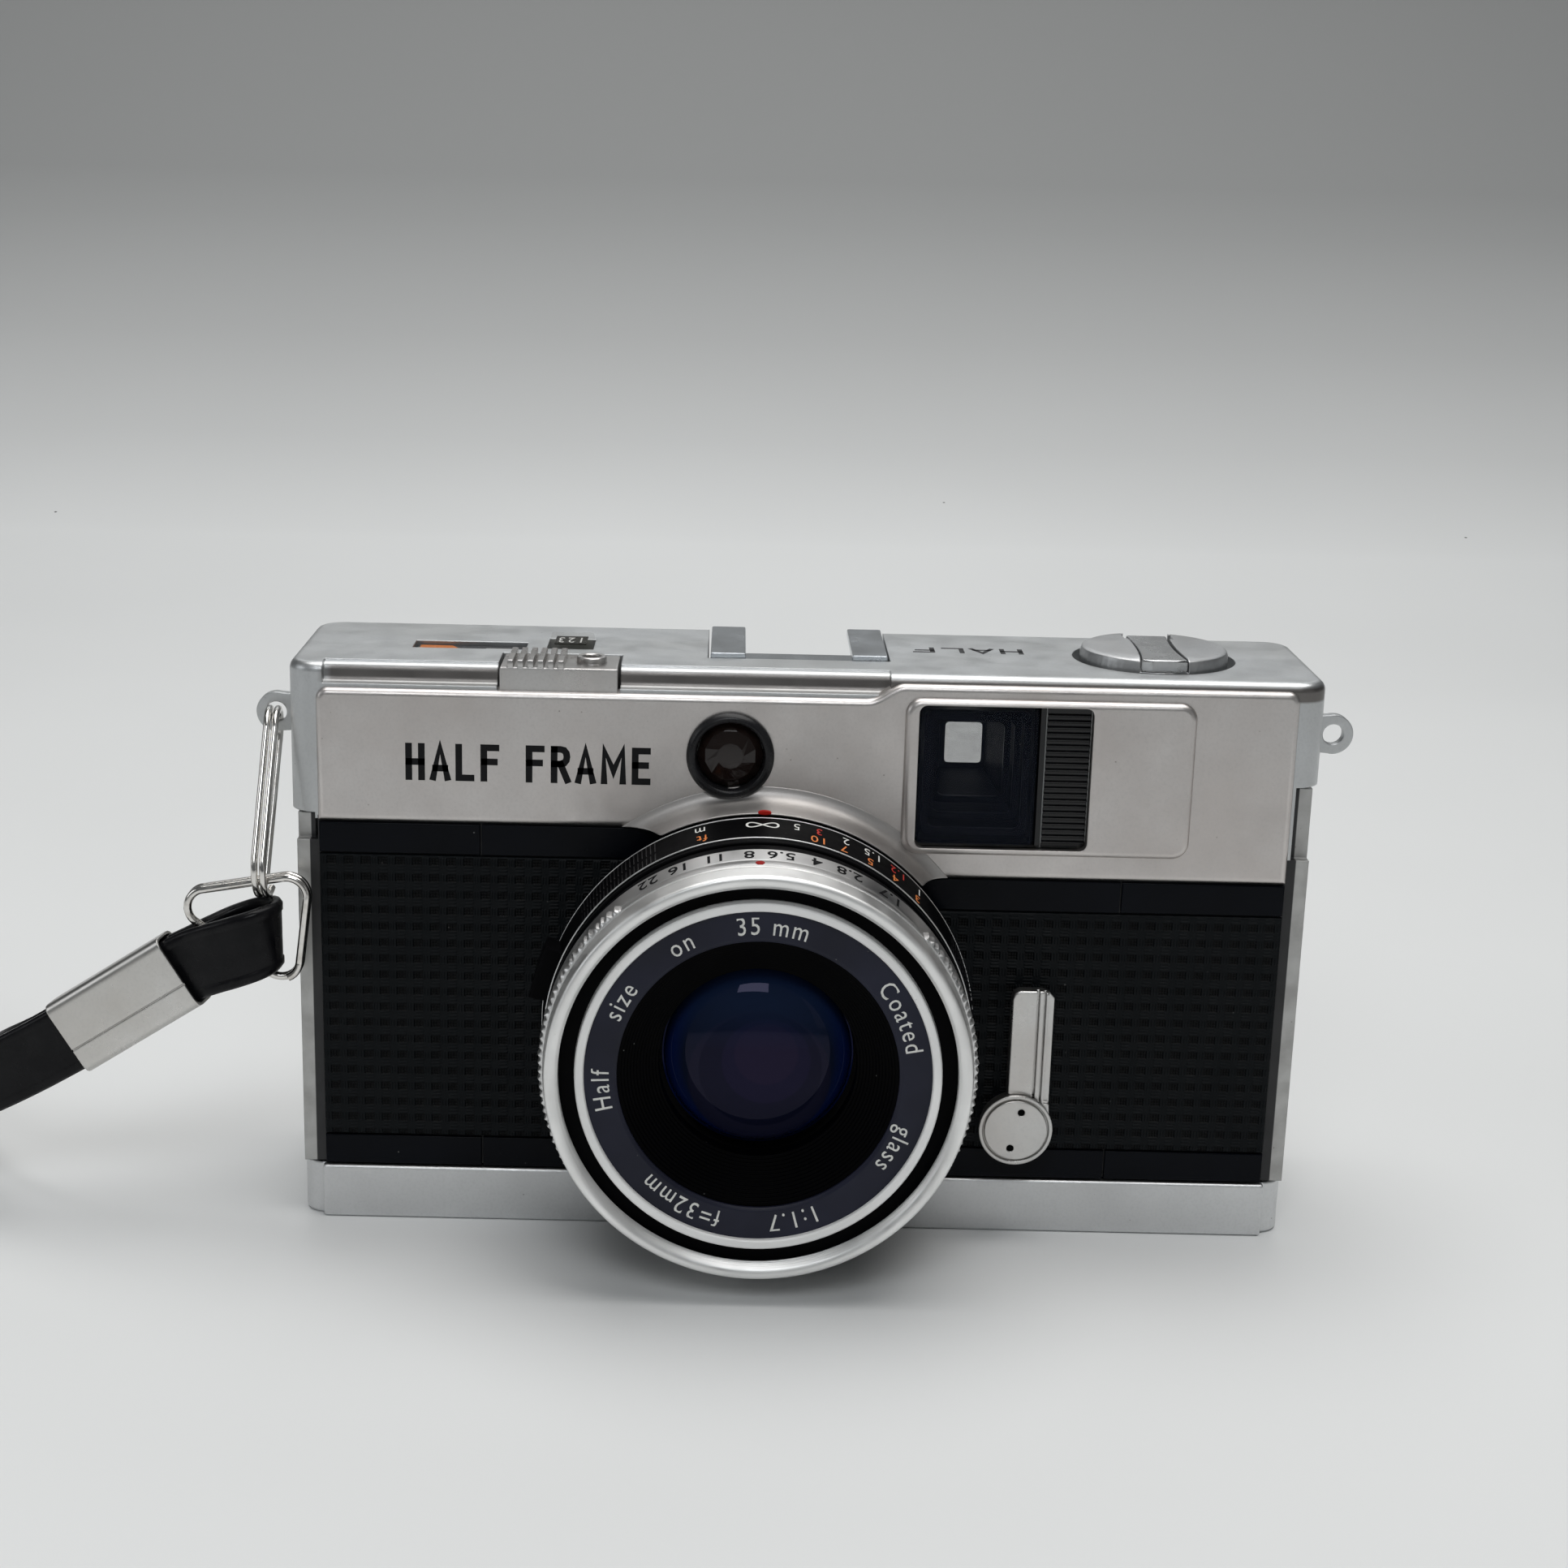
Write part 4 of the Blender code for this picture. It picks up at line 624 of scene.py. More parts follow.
def carved(bm, *cutters):
    """bm less the cutters, all bmeshes in mm."""
    objects = []
    for part in (bm, *cutters):
        bmesh.ops.recalc_face_normals(part, faces=part.faces)
        mesh = bpy.data.meshes.new("part")
        part.to_mesh(mesh)
        part.free()
        obj = bpy.data.objects.new("part", mesh)
        bpy.context.scene.collection.objects.link(obj)
        objects.append(obj)
    for cutter in objects[1:]:
        step = objects[0].modifiers.new("cut", "BOOLEAN")
        step.operation = "DIFFERENCE"
        step.object = cutter
        step.solver = "EXACT"
    bpy.context.view_layer.update()
    mesh = bpy.data.meshes.new_from_object(
        objects[0].evaluated_get(bpy.context.evaluated_depsgraph_get()))
    result = bmesh.new()
    result.from_mesh(mesh)
    bpy.data.meshes.remove(mesh)
    for obj in objects:
        data = obj.data
        bpy.data.objects.remove(obj, do_unlink=True)
        bpy.data.meshes.remove(data)
    return result


def drum(x, y, radius, low, high, steps=48, edge=0.0):
    """An upright cylinder."""
    return slab_mesh(circle(x, y, radius, steps), low, high, "z", edge=edge, both=True)


def swept(path, section, up=None, closed_ends=True):
    """A section of (side, up) points carried along a path. up gives the band's upright direction."""
    bm = bmesh.new()
    rings = []
    last = Vector((0, 0, 1))
    for i, here in enumerate(path):
        along = (path[min(i + 1, len(path) - 1)] - path[max(i - 1, 0)]).normalized()
        high = up(i, along) if up else last
        side = along.cross(high).normalized()
        high = side.cross(along).normalized()
        last = high
        rings.append([bm.verts.new(here + side * a + high * b) for a, b in section])
    for a, b in zip(rings, rings[1:]):
        for i in range(len(section)):
            j = (i + 1) % len(section)
            bm.faces.new((a[i], a[j], b[j], b[i]))
    if closed_ends:
        bm.faces.new(rings[0][::-1])
        bm.faces.new(rings[-1])
    return bm


def smooth_route(points, spacing):
    """Even steps along a Catmull-Rom curve through the points."""
    knots = [Vector(p) for p in points]
    knots = [knots[0] * 2 - knots[1], *knots, knots[-1] * 2 - knots[-2]]
    fine = []
    for a, b, c, d in zip(knots, knots[1:], knots[2:], knots[3:]):
        for step in range(24):
            t = step / 24
            fine.append((b * 2 + (c - a) * t + (a * 2 - b * 5 + c * 4 - d) * t * t
                         + (b * 3 - a - c * 3 + d) * t ** 3) / 2)
    fine.append(knots[-2])
    route, travelled = [fine[0]], 0.0
    for before, after in zip(fine, fine[1:]):
        travelled += (after - before).length
        if travelled >= spacing:
            route.append(after)
            travelled = 0.0
    if (route[-1] - fine[-1]).length < spacing / 2:
        route.pop()
    return route + [fine[-1]]


def length_of(path):
    return sum((b - a).length for a, b in zip(path, path[1:]))


# ---------------------------------------------------------------- lettering

BOWL = [(0.0, 1.0), (0.5, 1.0), (0.78, 0.97), (0.95, 0.88), (1.0, 0.76), (0.95, 0.64), (0.78, 0.55), (0.5, 0.52), (0.0, 0.52)]
STROKES = {
    "H": ([(0, 0), (0, 1)], [(1, 0), (1, 1)], [(0, 0.5), (1, 0.5)]),
    "A": ([(-0.05, 0), (0.5, 1), (1.05, 0)], [(0.14, 0.3), (0.86, 0.3)]),
    "L": ([(0, 1), (0, 0), (0.95, 0)],),
    "F": ([(0.95, 1), (0, 1), (0, 0)], [(0, 0.54), (0.82, 0.54)]),
    "R": ([(0, 0), (0, 1)], BOWL, [(0.5, 0.52), (1.03, 0)]),
    "M": ([(0, 0), (0, 1), (0.5, 0.3), (1, 1), (1, 0)],),
    "E": ([(0.95, 1), (0, 1), (0, 0), (0.95, 0)], [(0, 0.53), (0.82, 0.53)]),
    " ": (),
}


def engraved(text, height, width, gap, thick):
    """Condensed capitals of even stroke width, in mm, centred on the origin."""
    bm = bmesh.new()
    widths = [width * (1.3 if letter == "M" else 0.75 if letter == " " else 1.0) for letter in text]
    x = -(sum(widths) + gap * (len(text) - 1)) / 2
    half = thick / 2
    for letter, wide in zip(text, widths):
        for line in STROKES[letter]:
            points = [Vector((x + half + a * (wide - thick), -height / 2 + half + b * (height - thick))) for a, b in line]
            rows = []
            for i, point in enumerate(points):
                ahead = (points[min(i + 1, len(points) - 1)] - point)
                behind = (point - points[max(i - 1, 0)])
                ahead = ahead.normalized() if ahead.length else behind.normalized()
                behind = behind.normalized() if behind.length else ahead
                bisector = (ahead + behind).normalized()
                reach = half / max(0.45, bisector.dot(ahead))
                side = Vector((-bisector.y, bisector.x)) * reach
                end = -ahead * half if i == 0 else (ahead * half if i == len(points) - 1 else Vector((0, 0)))
                rows.append([bm.verts.new((*(point + end + side), 0)), bm.verts.new((*(point + end - side), 0))])
            for near, far in zip(rows, rows[1:]):
                bm.faces.new((near[0], near[1], far[1], far[0]))
        x += wide + gap
    return bm


def glyphs(text, size, spacing=1.0, stretch=1.0, weight=0.0):
    """Flat letters in mm, centred on the origin, as a bmesh with a fine enough mesh to bend."""
    curve = bpy.data.curves.new("text", "FONT")
    curve.body = text
    curve.size = size
    curve.space_character = spacing
    curve.align_x = "CENTER"
    curve.align_y = "CENTER"
    curve.offset = weight
    curve.resolution_u = 3
    obj = bpy.data.objects.new("text", curve)
    bpy.context.scene.collection.objects.link(obj)
    bpy.context.view_layer.update()
    mesh = bpy.data.meshes.new_from_object(obj.evaluated_get(bpy.context.evaluated_depsgraph_get()))
    bpy.data.objects.remove(obj, do_unlink=True)
    bpy.data.curves.remove(curve)
    bm = bmesh.new()
    bm.from_mesh(mesh)
    bpy.data.meshes.remove(mesh)
    bmesh.ops.scale(bm, vec=(stretch, 1, 1), verts=bm.verts)
    return bm


def bent(bm, where, depth=0.02):
    """Letters laid on a surface: where(a, b, lift) gives a point; the letters stand lift proud of it."""
    faces = list(bm.faces)
    raised = bmesh.ops.extrude_face_region(bm, geom=faces)
    top = {v for v in raised["geom"] if isinstance(v, bmesh.types.BMVert)}
    for v in bm.verts:
        v.co = where(v.co.x, v.co.y, depth if v in top else -0.15)
    return bm


def on_panel(x, z, y):
    return lambda a, b, lift: (x + a, y - lift, z + b)


def on_top(x, y, z, turn=0.0):
    def where(a, b, lift):
        return (x + a * math.cos(turn) - b * math.sin(turn), y + a * math.sin(turn) + b * math.cos(turn), z + lift)
    return where


def on_ring_side(angle, radius, t):
    """On a ring's outside, to be read from behind: the letters' heads point forwards."""
    def where(a, b, lift):
        turn = math.radians(angle) - a / radius
        r = radius + lift
        return (LENS_X + r * math.sin(turn), FRONT - (t + b), LENS_Z + r * math.cos(turn))
    return where


def on_ring_face(angle, radius, t):
    """On a ring's front, with the letters' heads outwards."""
    def where(a, b, lift):
        turn = math.radians(angle) + a / radius
        r = radius + b
        return (LENS_X + r * math.sin(turn), FRONT - t - lift, LENS_Z + r * math.cos(turn))
    return where


# ---------------------------------------------------------------- strap, rings, lugs

def band_section(half, thick):
    """Section of the strap: soft corners and a raised line near each edge."""
    t = thick / 2
    return [(-t, -half + 0.45), (-t * 0.55, -half), (t * 0.55, -half), (t, -half + 0.45),
            (t, -half + 1.15), (t - 0.14, -half + 1.3), (t - 0.14, half - 1.3), (t, half - 1.15),
            (t, half - 0.45), (t * 0.55, half), (-t * 0.55, half), (-t, half - 0.45),
            (-t, half - 1.15), (-t + 0.14, half - 1.3), (-t + 0.14, -half + 1.3), (-t, -half + 1.15)]


def upright(i, along):
    return (Vector((0, 0, 1)) - along * along.z).normalized()


def strap():
    """The wrist loop, the short loop through the ring and the clamp sleeve between them."""
    vinyl = strap_vinyl()
    section = band_section(BAND_HALF, BAND_THICK)
    route = smooth_route(STRAP_ROUTE, 1.6)
    loop = finished("wrist_loop", swept(route, section, upright), vinyl, "wrist_strap", ("wrist_strap",), 60)
    tab = [(-3.2, -0.33, -2.14), (-1.0, -0.66, -0.67), (1.0, -1.05, 0.6), (3.4, -2.0, 1.75), (5.8, -2.7, 2.7),
           (8.3, -2.7, 3.6), (10.1, -1.7, 4.2), (10.8, 0.0, 4.4), (10.1, 1.7, 4.2), (8.3, 2.7, 3.6),
           (5.8, 2.6, 2.7), (3.4, 1.7, 1.75), (1.0, 0.75, 0.6), (-1.0, 0.95, -0.67), (-3.2, 1.28, -2.14)]
    points = smooth_route([SLEEVE_RIGHT + Vector(p) for p in tab], 0.45)
    short = finished("ring_loop", swept(points, section, upright), vinyl, "wrist_strap", ("strap_tab",), 60)
    along = (SLEEVE_RIGHT - SLEEVE_LEFT).normalized()
    side = Vector((0, 0, 1)).cross(along).normalized()
    up = along.cross(side)
    length = (SLEEVE_RIGHT - SLEEVE_LEFT).length
    wide, tall, wall = 2.4, 4.6, 0.32
    outer = eased([(-wide, -tall), (wide, -tall), (wide, tall), (-wide, tall)], 1.25, 4)
    seam = -wide
    inner = eased([(-wide + wall, -tall + wall), (wide - wall, -tall + wall), (wide - wall, tall - wall),
                   (-wide + wall, tall - wall)], 1.0, 4)
    sleeve = slab_mesh(outer, -length / 2, length / 2, "x", [inner], 0.12, True, 2)
    groove = slab_mesh([(seam - 1.0, -1.52), (seam + 0.22, -1.52), (seam + 0.22, -1.30), (seam - 1.0, -1.30)],
                       -length, length, "x", edge=0)
    sleeve = carved(sleeve, groove)
    stand = Matrix((along, side, up)).transposed().to_4x4()
    stand.translation = (SLEEVE_LEFT + SLEEVE_RIGHT) / 2
    bmesh.ops.transform(sleeve, matrix=stand, verts=sleeve.verts)
    clamp = finished("clamp_sleeve", sleeve, satin_chrome("sleeve_steel", (0.62, 0.61, 0.59), (0.56, 0.54, 0.51), 0.01, (0.24, 0.36), 0.5), "wrist_strap", ("strap_sleeve",))
    metres = [p * MM for p in route]
    tuple(metres[0])
    length_of(metres)
    [tuple(p) for p in metres]


def ring_of_wire(radius, sides=14):
    return [(radius * math.cos(2 * math.pi * i / sides), radius * math.sin(2 * math.pi * i / sides))
            for i in range(sides)]


def split_rings():
    """The oval link in the lug and the three-cornered ring it carries, two turns of wire each."""
    nickel = bright_wire()
    lug = Vector((COVER_LOW.x - 2.4, FRONT + 9.0, 59.2))
    foot = Vector((-61.5, FRONT - 1.8, 40.2))
    along = (foot - lug).normalized()
    across = Vector((0, 1, 0))
    across = (across - along * across.dot(along)).normalized()
    normal = along.cross(across)
    width, pitch, turns, arc_steps = 3.2, 0.95, 2, 16
    length = (foot - lug).length - 2 * width
    oval = []
    for turn in range(turns):
        for half in range(2):
            for step in range(arc_steps + 1):
                angle = math.pi * step / arc_steps + math.pi * half
                share = turn + (half + step / (arc_steps + 1)) / 2
                centre = lug + along * (width + (length if half else 0.0))
                offset = across * math.cos(angle) * width - along * math.sin(angle) * width
                oval.append(centre + offset + normal * (share - turns / 2) * pitch)
    oval = oval[5:-3]
    finished("oval_link", swept(oval, ring_of_wire(0.4)), nickel, "strap_link", ("strap_link",), 60)
    corners = [Vector((-73.2, 0, 39.7)), Vector((-57.6, 0, 28.6)), Vector((-55.8, 0, 42.7))]
    ring, bend, steps = [], 2.2, 18
    for i, corner in enumerate(corners):
        before = (corners[i - 1] - corner).normalized()
        after = (corners[(i + 1) % 3] - corner).normalized()
        half_angle = before.angle(after) / 2
        start = corner + before * bend / math.tan(half_angle)
        end = corner + after * bend / math.tan(half_angle)
        centre = corner + (before + after).normalized() * bend / math.sin(half_angle)
        for step in range(steps + 1):
            s = step / steps
            ring.append(centre + ((start - centre) * (1 - s) + (end - centre) * s).normalized() * bend)
    third = steps + 1
    path = ring[third + steps // 2:] + ring + ring[:steps // 2]
    pitch = 1.0
    path = [p + Vector((0, FRONT - 2.45 + pitch * i / len(ring), 0)) for i, p in enumerate(path)]
    finished("corner_ring", swept(path, ring_of_wire(0.47)), nickel, "strap_ring", ("strap_ring",), 60)


def lugs(chrome):
    """Round eyes on the sides of the cover."""
    for name, side in (("strap_lug_left", -1), ("strap_lug_right", 1)):
        x = side * (HALF_WIDTH + 2.4)
        z = 59.1
        depth = FRONT + 9.0
        outline = []
        for step in range(25):
            angle = math.radians(-105 + 210 * step / 24) if side > 0 else math.radians(75 + 210 * step / 24)
            outline.append((x + 2.3 * math.cos(angle), z + 2.3 * math.sin(angle)))
        root = side * (HALF_WIDTH + 0.15)
        outline += [(root, z + 2.1 * side), (root, z - 2.1 * side)]
        t = FRONT - depth
        eye = slab_mesh(outline, t - 0.6, t + 0.6, "y", [circle(x, z, 1.2, 28)], 0.25, True)
        finished("lug_eye_left" if side < 0 else "lug_eye_right", eye, chrome, "root", (name,))


# ---------------------------------------------------------------- covers

def panel_outline():
    """The raised front panel, with its arc over the lens and its step beside the finder."""
    radius = 25.4
    left = math.degrees(math.acos((PANEL_LOW_LEFT - LENS_Z) / radius))
    right = math.degrees(math.acos((PANEL_LOW_RIGHT - LENS_Z) / radius))
    arc = []
    for step in range(41):
        angle = math.radians(-left + (left + right) * step / 40)
        arc.append((LENS_X + radius * math.sin(angle), LENS_Z + radius * math.cos(angle)))
    rise = []
    for step in range(13):
        s = step / 12
        ease = s * s * (3 - 2 * s)
        rise.append((STEP_RIGHT + (STEP_LEFT - STEP_RIGHT) * s, PANEL_TOP_RIGHT + (PANEL_TOP_LEFT - PANEL_TOP_RIGHT) * ease))
    corner_right = [(PANEL_HALF - 1.3 + 1.3 * math.cos(math.radians(a)), PANEL_TOP_RIGHT - 1.3 + 1.3 * math.sin(math.radians(a)))
                    for a in range(0, 91, 15)]
    corner_left = [(-PANEL_HALF + 1.3 + 1.3 * math.cos(math.radians(a)), PANEL_TOP_LEFT - 1.3 + 1.3 * math.sin(math.radians(a)))
                   for a in range(90, 181, 15)]
    return [(-PANEL_HALF, PANEL_LOW_LEFT), *arc, (PANEL_HALF, PANEL_LOW_RIGHT), *corner_right, *rise, *corner_left]


def shell_sections():
    """The cover's outline at each height, drawn in towards the top edge."""
    y = (FRONT + 0.9, COVER_HIGH.y)
    sections = []
    for z, inset in ((43.0, 0.0), (TOP - 1.1, 0.0), (TOP - 0.72, 0.08), (TOP - 0.4, 0.26), (TOP - 0.16, 0.52),
                     (TOP - 0.04, 0.82), (TOP, 1.15)):
        outline = rounded_box((-HALF_WIDTH + inset, HALF_WIDTH - inset), (y[0] + inset, y[1] - inset), 3.4 - inset, 8)
        sections.append([(a, b, z) for a, b in outline])
    return sections


def top_cover(chrome, cool):
    """Cover shell, raised panel, finder bezel and the collar over the lens."""
    lip = PANEL_TOP_LEFT + 0.42
    y0 = FRONT
    valley = [(y0 - 1, lip), (y0 + 1.7, lip), (y0 + 2.0, lip + 0.07), (y0 + 2.2, lip + 0.25), (y0 + 2.32, lip + 0.6),
              (y0 + 2.38, lip + 1.2), (y0 + 2.48, lip + 1.6), (y0 + 2.7, lip + 1.9), (y0 + 3.05, lip + 2.05),
              (y0 + 3.5, lip + 2.09), (y0 + 3.5, 70), (y0 - 1, 70)]
    button_x = (BUTTON_LOW.x - 0.3, BUTTON_HIGH.x + 0.3)
    button_y = (BUTTON_LOW.y - 0.2, BUTTON_HIGH.y + 0.3)
    meter_low, meter_high = span("meter_window")
    count_low, count_high = span("counter_window")
    wheel_low, wheel_high = span("advance_wheel")
    eye_low, eye_high = span("eyepiece")
    tube_low, tube_high = span("viewfinder_tube")
    shell = loft_mesh(shell_sections())
    # Cover plating with painted shade in the groove under its top edge.
    groove_shaded_chrome = satin_chrome("cover_chrome", COOL, COOL_WORN, roughness=(0.34, 0.48), groove=(y0 + 2.95, lip - 0.05, lip + 1.95))
    tunnel = bmesh.new()
    bmesh.ops.create_cube(tunnel, size=1.0)
    for v in tunnel.verts:
        rear = v.co.y > 0
        x = (eye_low.x - 1.3, eye_high.x + 1.3) if rear else (tube_low.x - 0.1, tube_high.x + 0.1)
        z = (eye_low.z - 1.3, eye_high.z + 1.3) if rear else (tube_low.z - 0.1, tube_high.z + 0.1)
        v.co = (x[v.co.x > 0], tube_high.y + 0.05 if rear else FRONT - 2, z[v.co.z > 0])

    def pocket(x, y, z):
        return box_mesh(x, y, z, 0)

    shell = carved(
        shell,
        slab_mesh(valley, -54.4, STEP_RIGHT - 1.6, "x", edge=0),
        pocket((-70, LENS_X), (FRONT - 5, FRONT + 3.2), (30, PANEL_LOW_LEFT)),
        pocket((-70, 70), (FRONT - 5, FRONT + 3.2), (30, PANEL_LOW_RIGHT)),
        pocket((-70, 70), (FRONT + 3.1, 20), (30, 46.3)),
        pocket((-70, -PANEL_HALF - 0.4), (-20, 20), (30, 49.2)),
        pocket((PANEL_HALF + 0.4, 70), (-20, 20), (30, 54.5)),
        tunnel,
        lathe_mesh([(0.01, 3), (4.6, 3), (4.6, -6), (0.01, -6)], (CELL_X, CELL_Z), 48),
        pocket(button_x, button_y, (60.2, 72)),
        pocket((meter_low.x - 0.1, meter_high.x + 0.1), (meter_low.y - 0.1, meter_high.y + 0.1), (63.0, 72)),
        pocket((count_low.x - 0.15, count_high.x + 0.15), (count_low.y - 0.15, count_high.y + 0.15), (63.9, 72)),
        pocket((SHOE_LOW.x - 0.3, SHOE_HIGH.x + 0.3), (SHOE_LOW.y - 0.3, 20), (62.75, 72)),
        pocket((wheel_low.x + 3.8, wheel_high.x - 3.8), (8, 20), (47.4, 52.4)),
        pocket((eye_low.x - 0.3, eye_high.x + 0.3), (8, 20), (eye_low.z - 0.3, eye_high.z + 0.3)),
        drum(KNOB_X, KNOB_Y, 9.4, TOP - 2.2, 72, 72),
        slab_mesh(circle(LENS_X, LENS_Z, 25.1, 96), -6, 4, "y", edge=0))
    finished("cover_shell", shell, groove_shaded_chrome, "root", ("top_cover",))
    window = rounded_box((12.5, 32.0), (47.0, 63.5), 0.9)
    panel = slab_mesh(panel_outline(), -3.0, 0.0, "y", edge=0.75, steps=5)
    panel = carved(panel, slab_mesh(window, -6, 3, "y", edge=0), slab_mesh(circle(CELL_X, CELL_Z, 4.6, 64), -6, 3, "y", edge=0))
    finished("front_panel", panel, chrome, "root")
    bezel = slab_mesh(rounded_box((11.0, 43.6), (46.2, 64.2), 1.9, 8), -0.6, 0.9, "y", edge=0.75, steps=5)
    bezel = carved(bezel, slab_mesh(window, -3, 3, "y", edge=0))
    finished("finder_bezel", bezel, chrome, "root")
    flare = [(25.1, -1.5), (24.95, 0.2), (24.72, 3.1), (24.78, 3.3), (24.9, 3.3), (25.0, 3.02), (25.14, 2.45),
             (25.32, 1.82), (25.56, 1.2), (25.86, 0.7), (26.25, 0.32), (26.7, 0.1), (27.2, 0.01), (27.2, -1.5)]
    collar = lathe_mesh(flare, (LENS_X, LENS_Z), 96, (-52, 62))
    collar = carved(collar, pocket((-70, LENS_X), (-40, 20), (0, PANEL_LOW_LEFT + 0.02)),
                    pocket((LENS_X - 0.01, 70), (-40, 20), (0, PANEL_LOW_RIGHT + 0.02)))
    # Painted shade: the collar takes a darker copy of the satin chrome, standing in for the shade over the lens.
    painted_shade_chrome = satin_chrome("collar_chrome", (0.47, 0.455, 0.445), (0.42, 0.40, 0.385), roughness=(0.4, 0.52))
    finished("lens_collar", collar, painted_shade_chrome, "root")
    red = printed("red_mark", (0.45, 0.015, 0.01), 0.35)
    mark = slab_mesh([(LENS_X + 0.25 + 0.75 * math.cos(a), LENS_Z + 24.98 + 0.25 * math.sin(a))
                      for a in [2 * math.pi * i / 20 for i in range(20)]], 2.9, 3.4, "y", edge=0.05)
    finished("distance_index", mark, red, "root")
    ink = printed("black_engraving", (0.006, 0.006, 0.007), 0.35)
    name = bent(engraved("HALF FRAME", 4.3, 2.2, 0.62, 0.76), on_panel(-31.2, 55.6, FRONT), 0.012)
    finished("front_lettering", name, ink, "root")
    plate = bent(engraved("HALF", 3.0, 2.7, 0.75, 0.58), on_top(19.0, 2.2, TOP, math.pi), 0.01)
    finished("top_lettering", plate, printed("grey_engraving", (0.035, 0.035, 0.037), 0.5), "root")


def bottom_cover(chrome):
    """Bottom tray with a raised front panel and the holes under it."""
    sections = []
    for z, inset in ((0.0, 0.55), (0.07, 0.25), (0.25, 0.07), (0.5, 0.0), (BASE_HIGH.z - 0.15, 0.0), (BASE_HIGH.z, 0.12)):
        outline = rounded_box((BASE_LOW.x + inset, BASE_HIGH.x - inset), (FRONT + 0.9 + inset, BASE_HIGH.y - inset),
                              2.6 - inset, 8)
        sections.append([(a, b, z) for a, b in outline])
    battery_low, battery_high = span("battery_cover")
    bush_low, bush_high = span("tripod_socket")
    button_low, button_high = span("rewind_release_button")

    def hole(low, high, radius):
        return drum((low.x + high.x) / 2, (low.y + high.y) / 2, radius, -5, 8, 64)

    tray = carved(loft_mesh(sections), hole(battery_low, battery_high, 8.9), hole(bush_low, bush_high, 5.5),
                  hole(button_low, button_high, 2.2))
    finished("bottom_tray", tray, chrome, "root", ("bottom_cover",))
    front = slab_mesh(rounded_box((-55.4, 55.4), (0.02, BASE_HIGH.z), 0.35, 3), -3.0, 0.0, "y", edge=0.35, steps=4)
    finished("bottom_front", front, chrome, "root")


def beside_lens(radius, z):
    return math.sqrt(radius ** 2 - (z - LENS_Z) ** 2)


def covering(name, node, side, z0, z1, finish, front, edge, outer=55.0, split=None):
    """One covering: straight outside, an arc around the lens mount, in one or two lengths."""
    radius, steps = 22.8, 24
    arc = []
    for step in range(steps + 1):
        z = z0 + (z1 - z0) * step / steps
        arc.append((LENS_X + side * beside_lens(radius, z), z))
    gap = 0.09
    near = split - side * gap if split else outer * side
    inner = [*arc, (near, z1), (near, z0)]
    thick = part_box(node)
    back = FRONT - thick[1][1] / MM
    whole = slab_mesh(inner, back, front, "y", edge=edge, steps=3)
    if split:
        far = sorted((split + side * gap, side * outer))
        whole = merged(whole, slab_mesh([(far[0], z0), (far[1], z0), (far[1], z1), (far[0], z1)], back, front,
                                        "y", edge=edge, steps=3))
    return finished(name, whole, finish, "root", (node,))


def coverings():
    leather = leatherette()
    strip = gloss_black("gloss_strip", (0.0015, 0.002, 0.0035), 0.4, (0.16, 0.28), 0.04, shine=0.08)
    leather_front, strip_front = -0.15, -0.28
    covering("leather_left", "leatherette_left", -1, 10.5, 44.55, leather, leather_front, 0.3)
    right = covering("leather_right", "leatherette_right", 1, 10.5, 39.3, leather, leather_front, 0.3)
    covering("strip_low_left", "trim_lower_left", -1, 6.75, 10.3, strip, strip_front, 0.15, split=-36.6)
    covering("strip_low_right", "trim_lower_right", 1, 6.75, 10.3, strip, strip_front, 0.15, split=36.4)
    covering("strip_high_left", "trim_upper_left", -1, 44.75, 48.3, strip, strip_front, 0.15, split=-36.6)
    covering("strip_high_right", "trim_upper_right", 1, 39.5, 43.1, strip, strip_front, 0.15, split=36.4)
    low, high = span("leatherette_back")
    back = slab_mesh(rounded_box((low.x, high.x), (low.z, high.z), 1.2), FRONT - high.y - 0.0, FRONT - low.y, "y",
                     edge=0.15, both=True)
    finished("leather_back", back, leather, "back_door", ("leatherette_back",))
    return right


# ---------------------------------------------------------------- lens

def knurl(pitch, depth, zones, points, plain=0.0):
    """Radius change on the given profile points: a straight knurl within some angles, lower and plain outside."""
    def change(angle, i):
        degrees = (math.degrees(angle) + 180) % 360 - 180
        if i not in points:
            return 0.0
        if not any(a < degrees < b for a, b in zones):
            return -plain
        phase = (degrees / pitch) % 1.0
        return -depth * abs(2 * phase - 1)
    return change


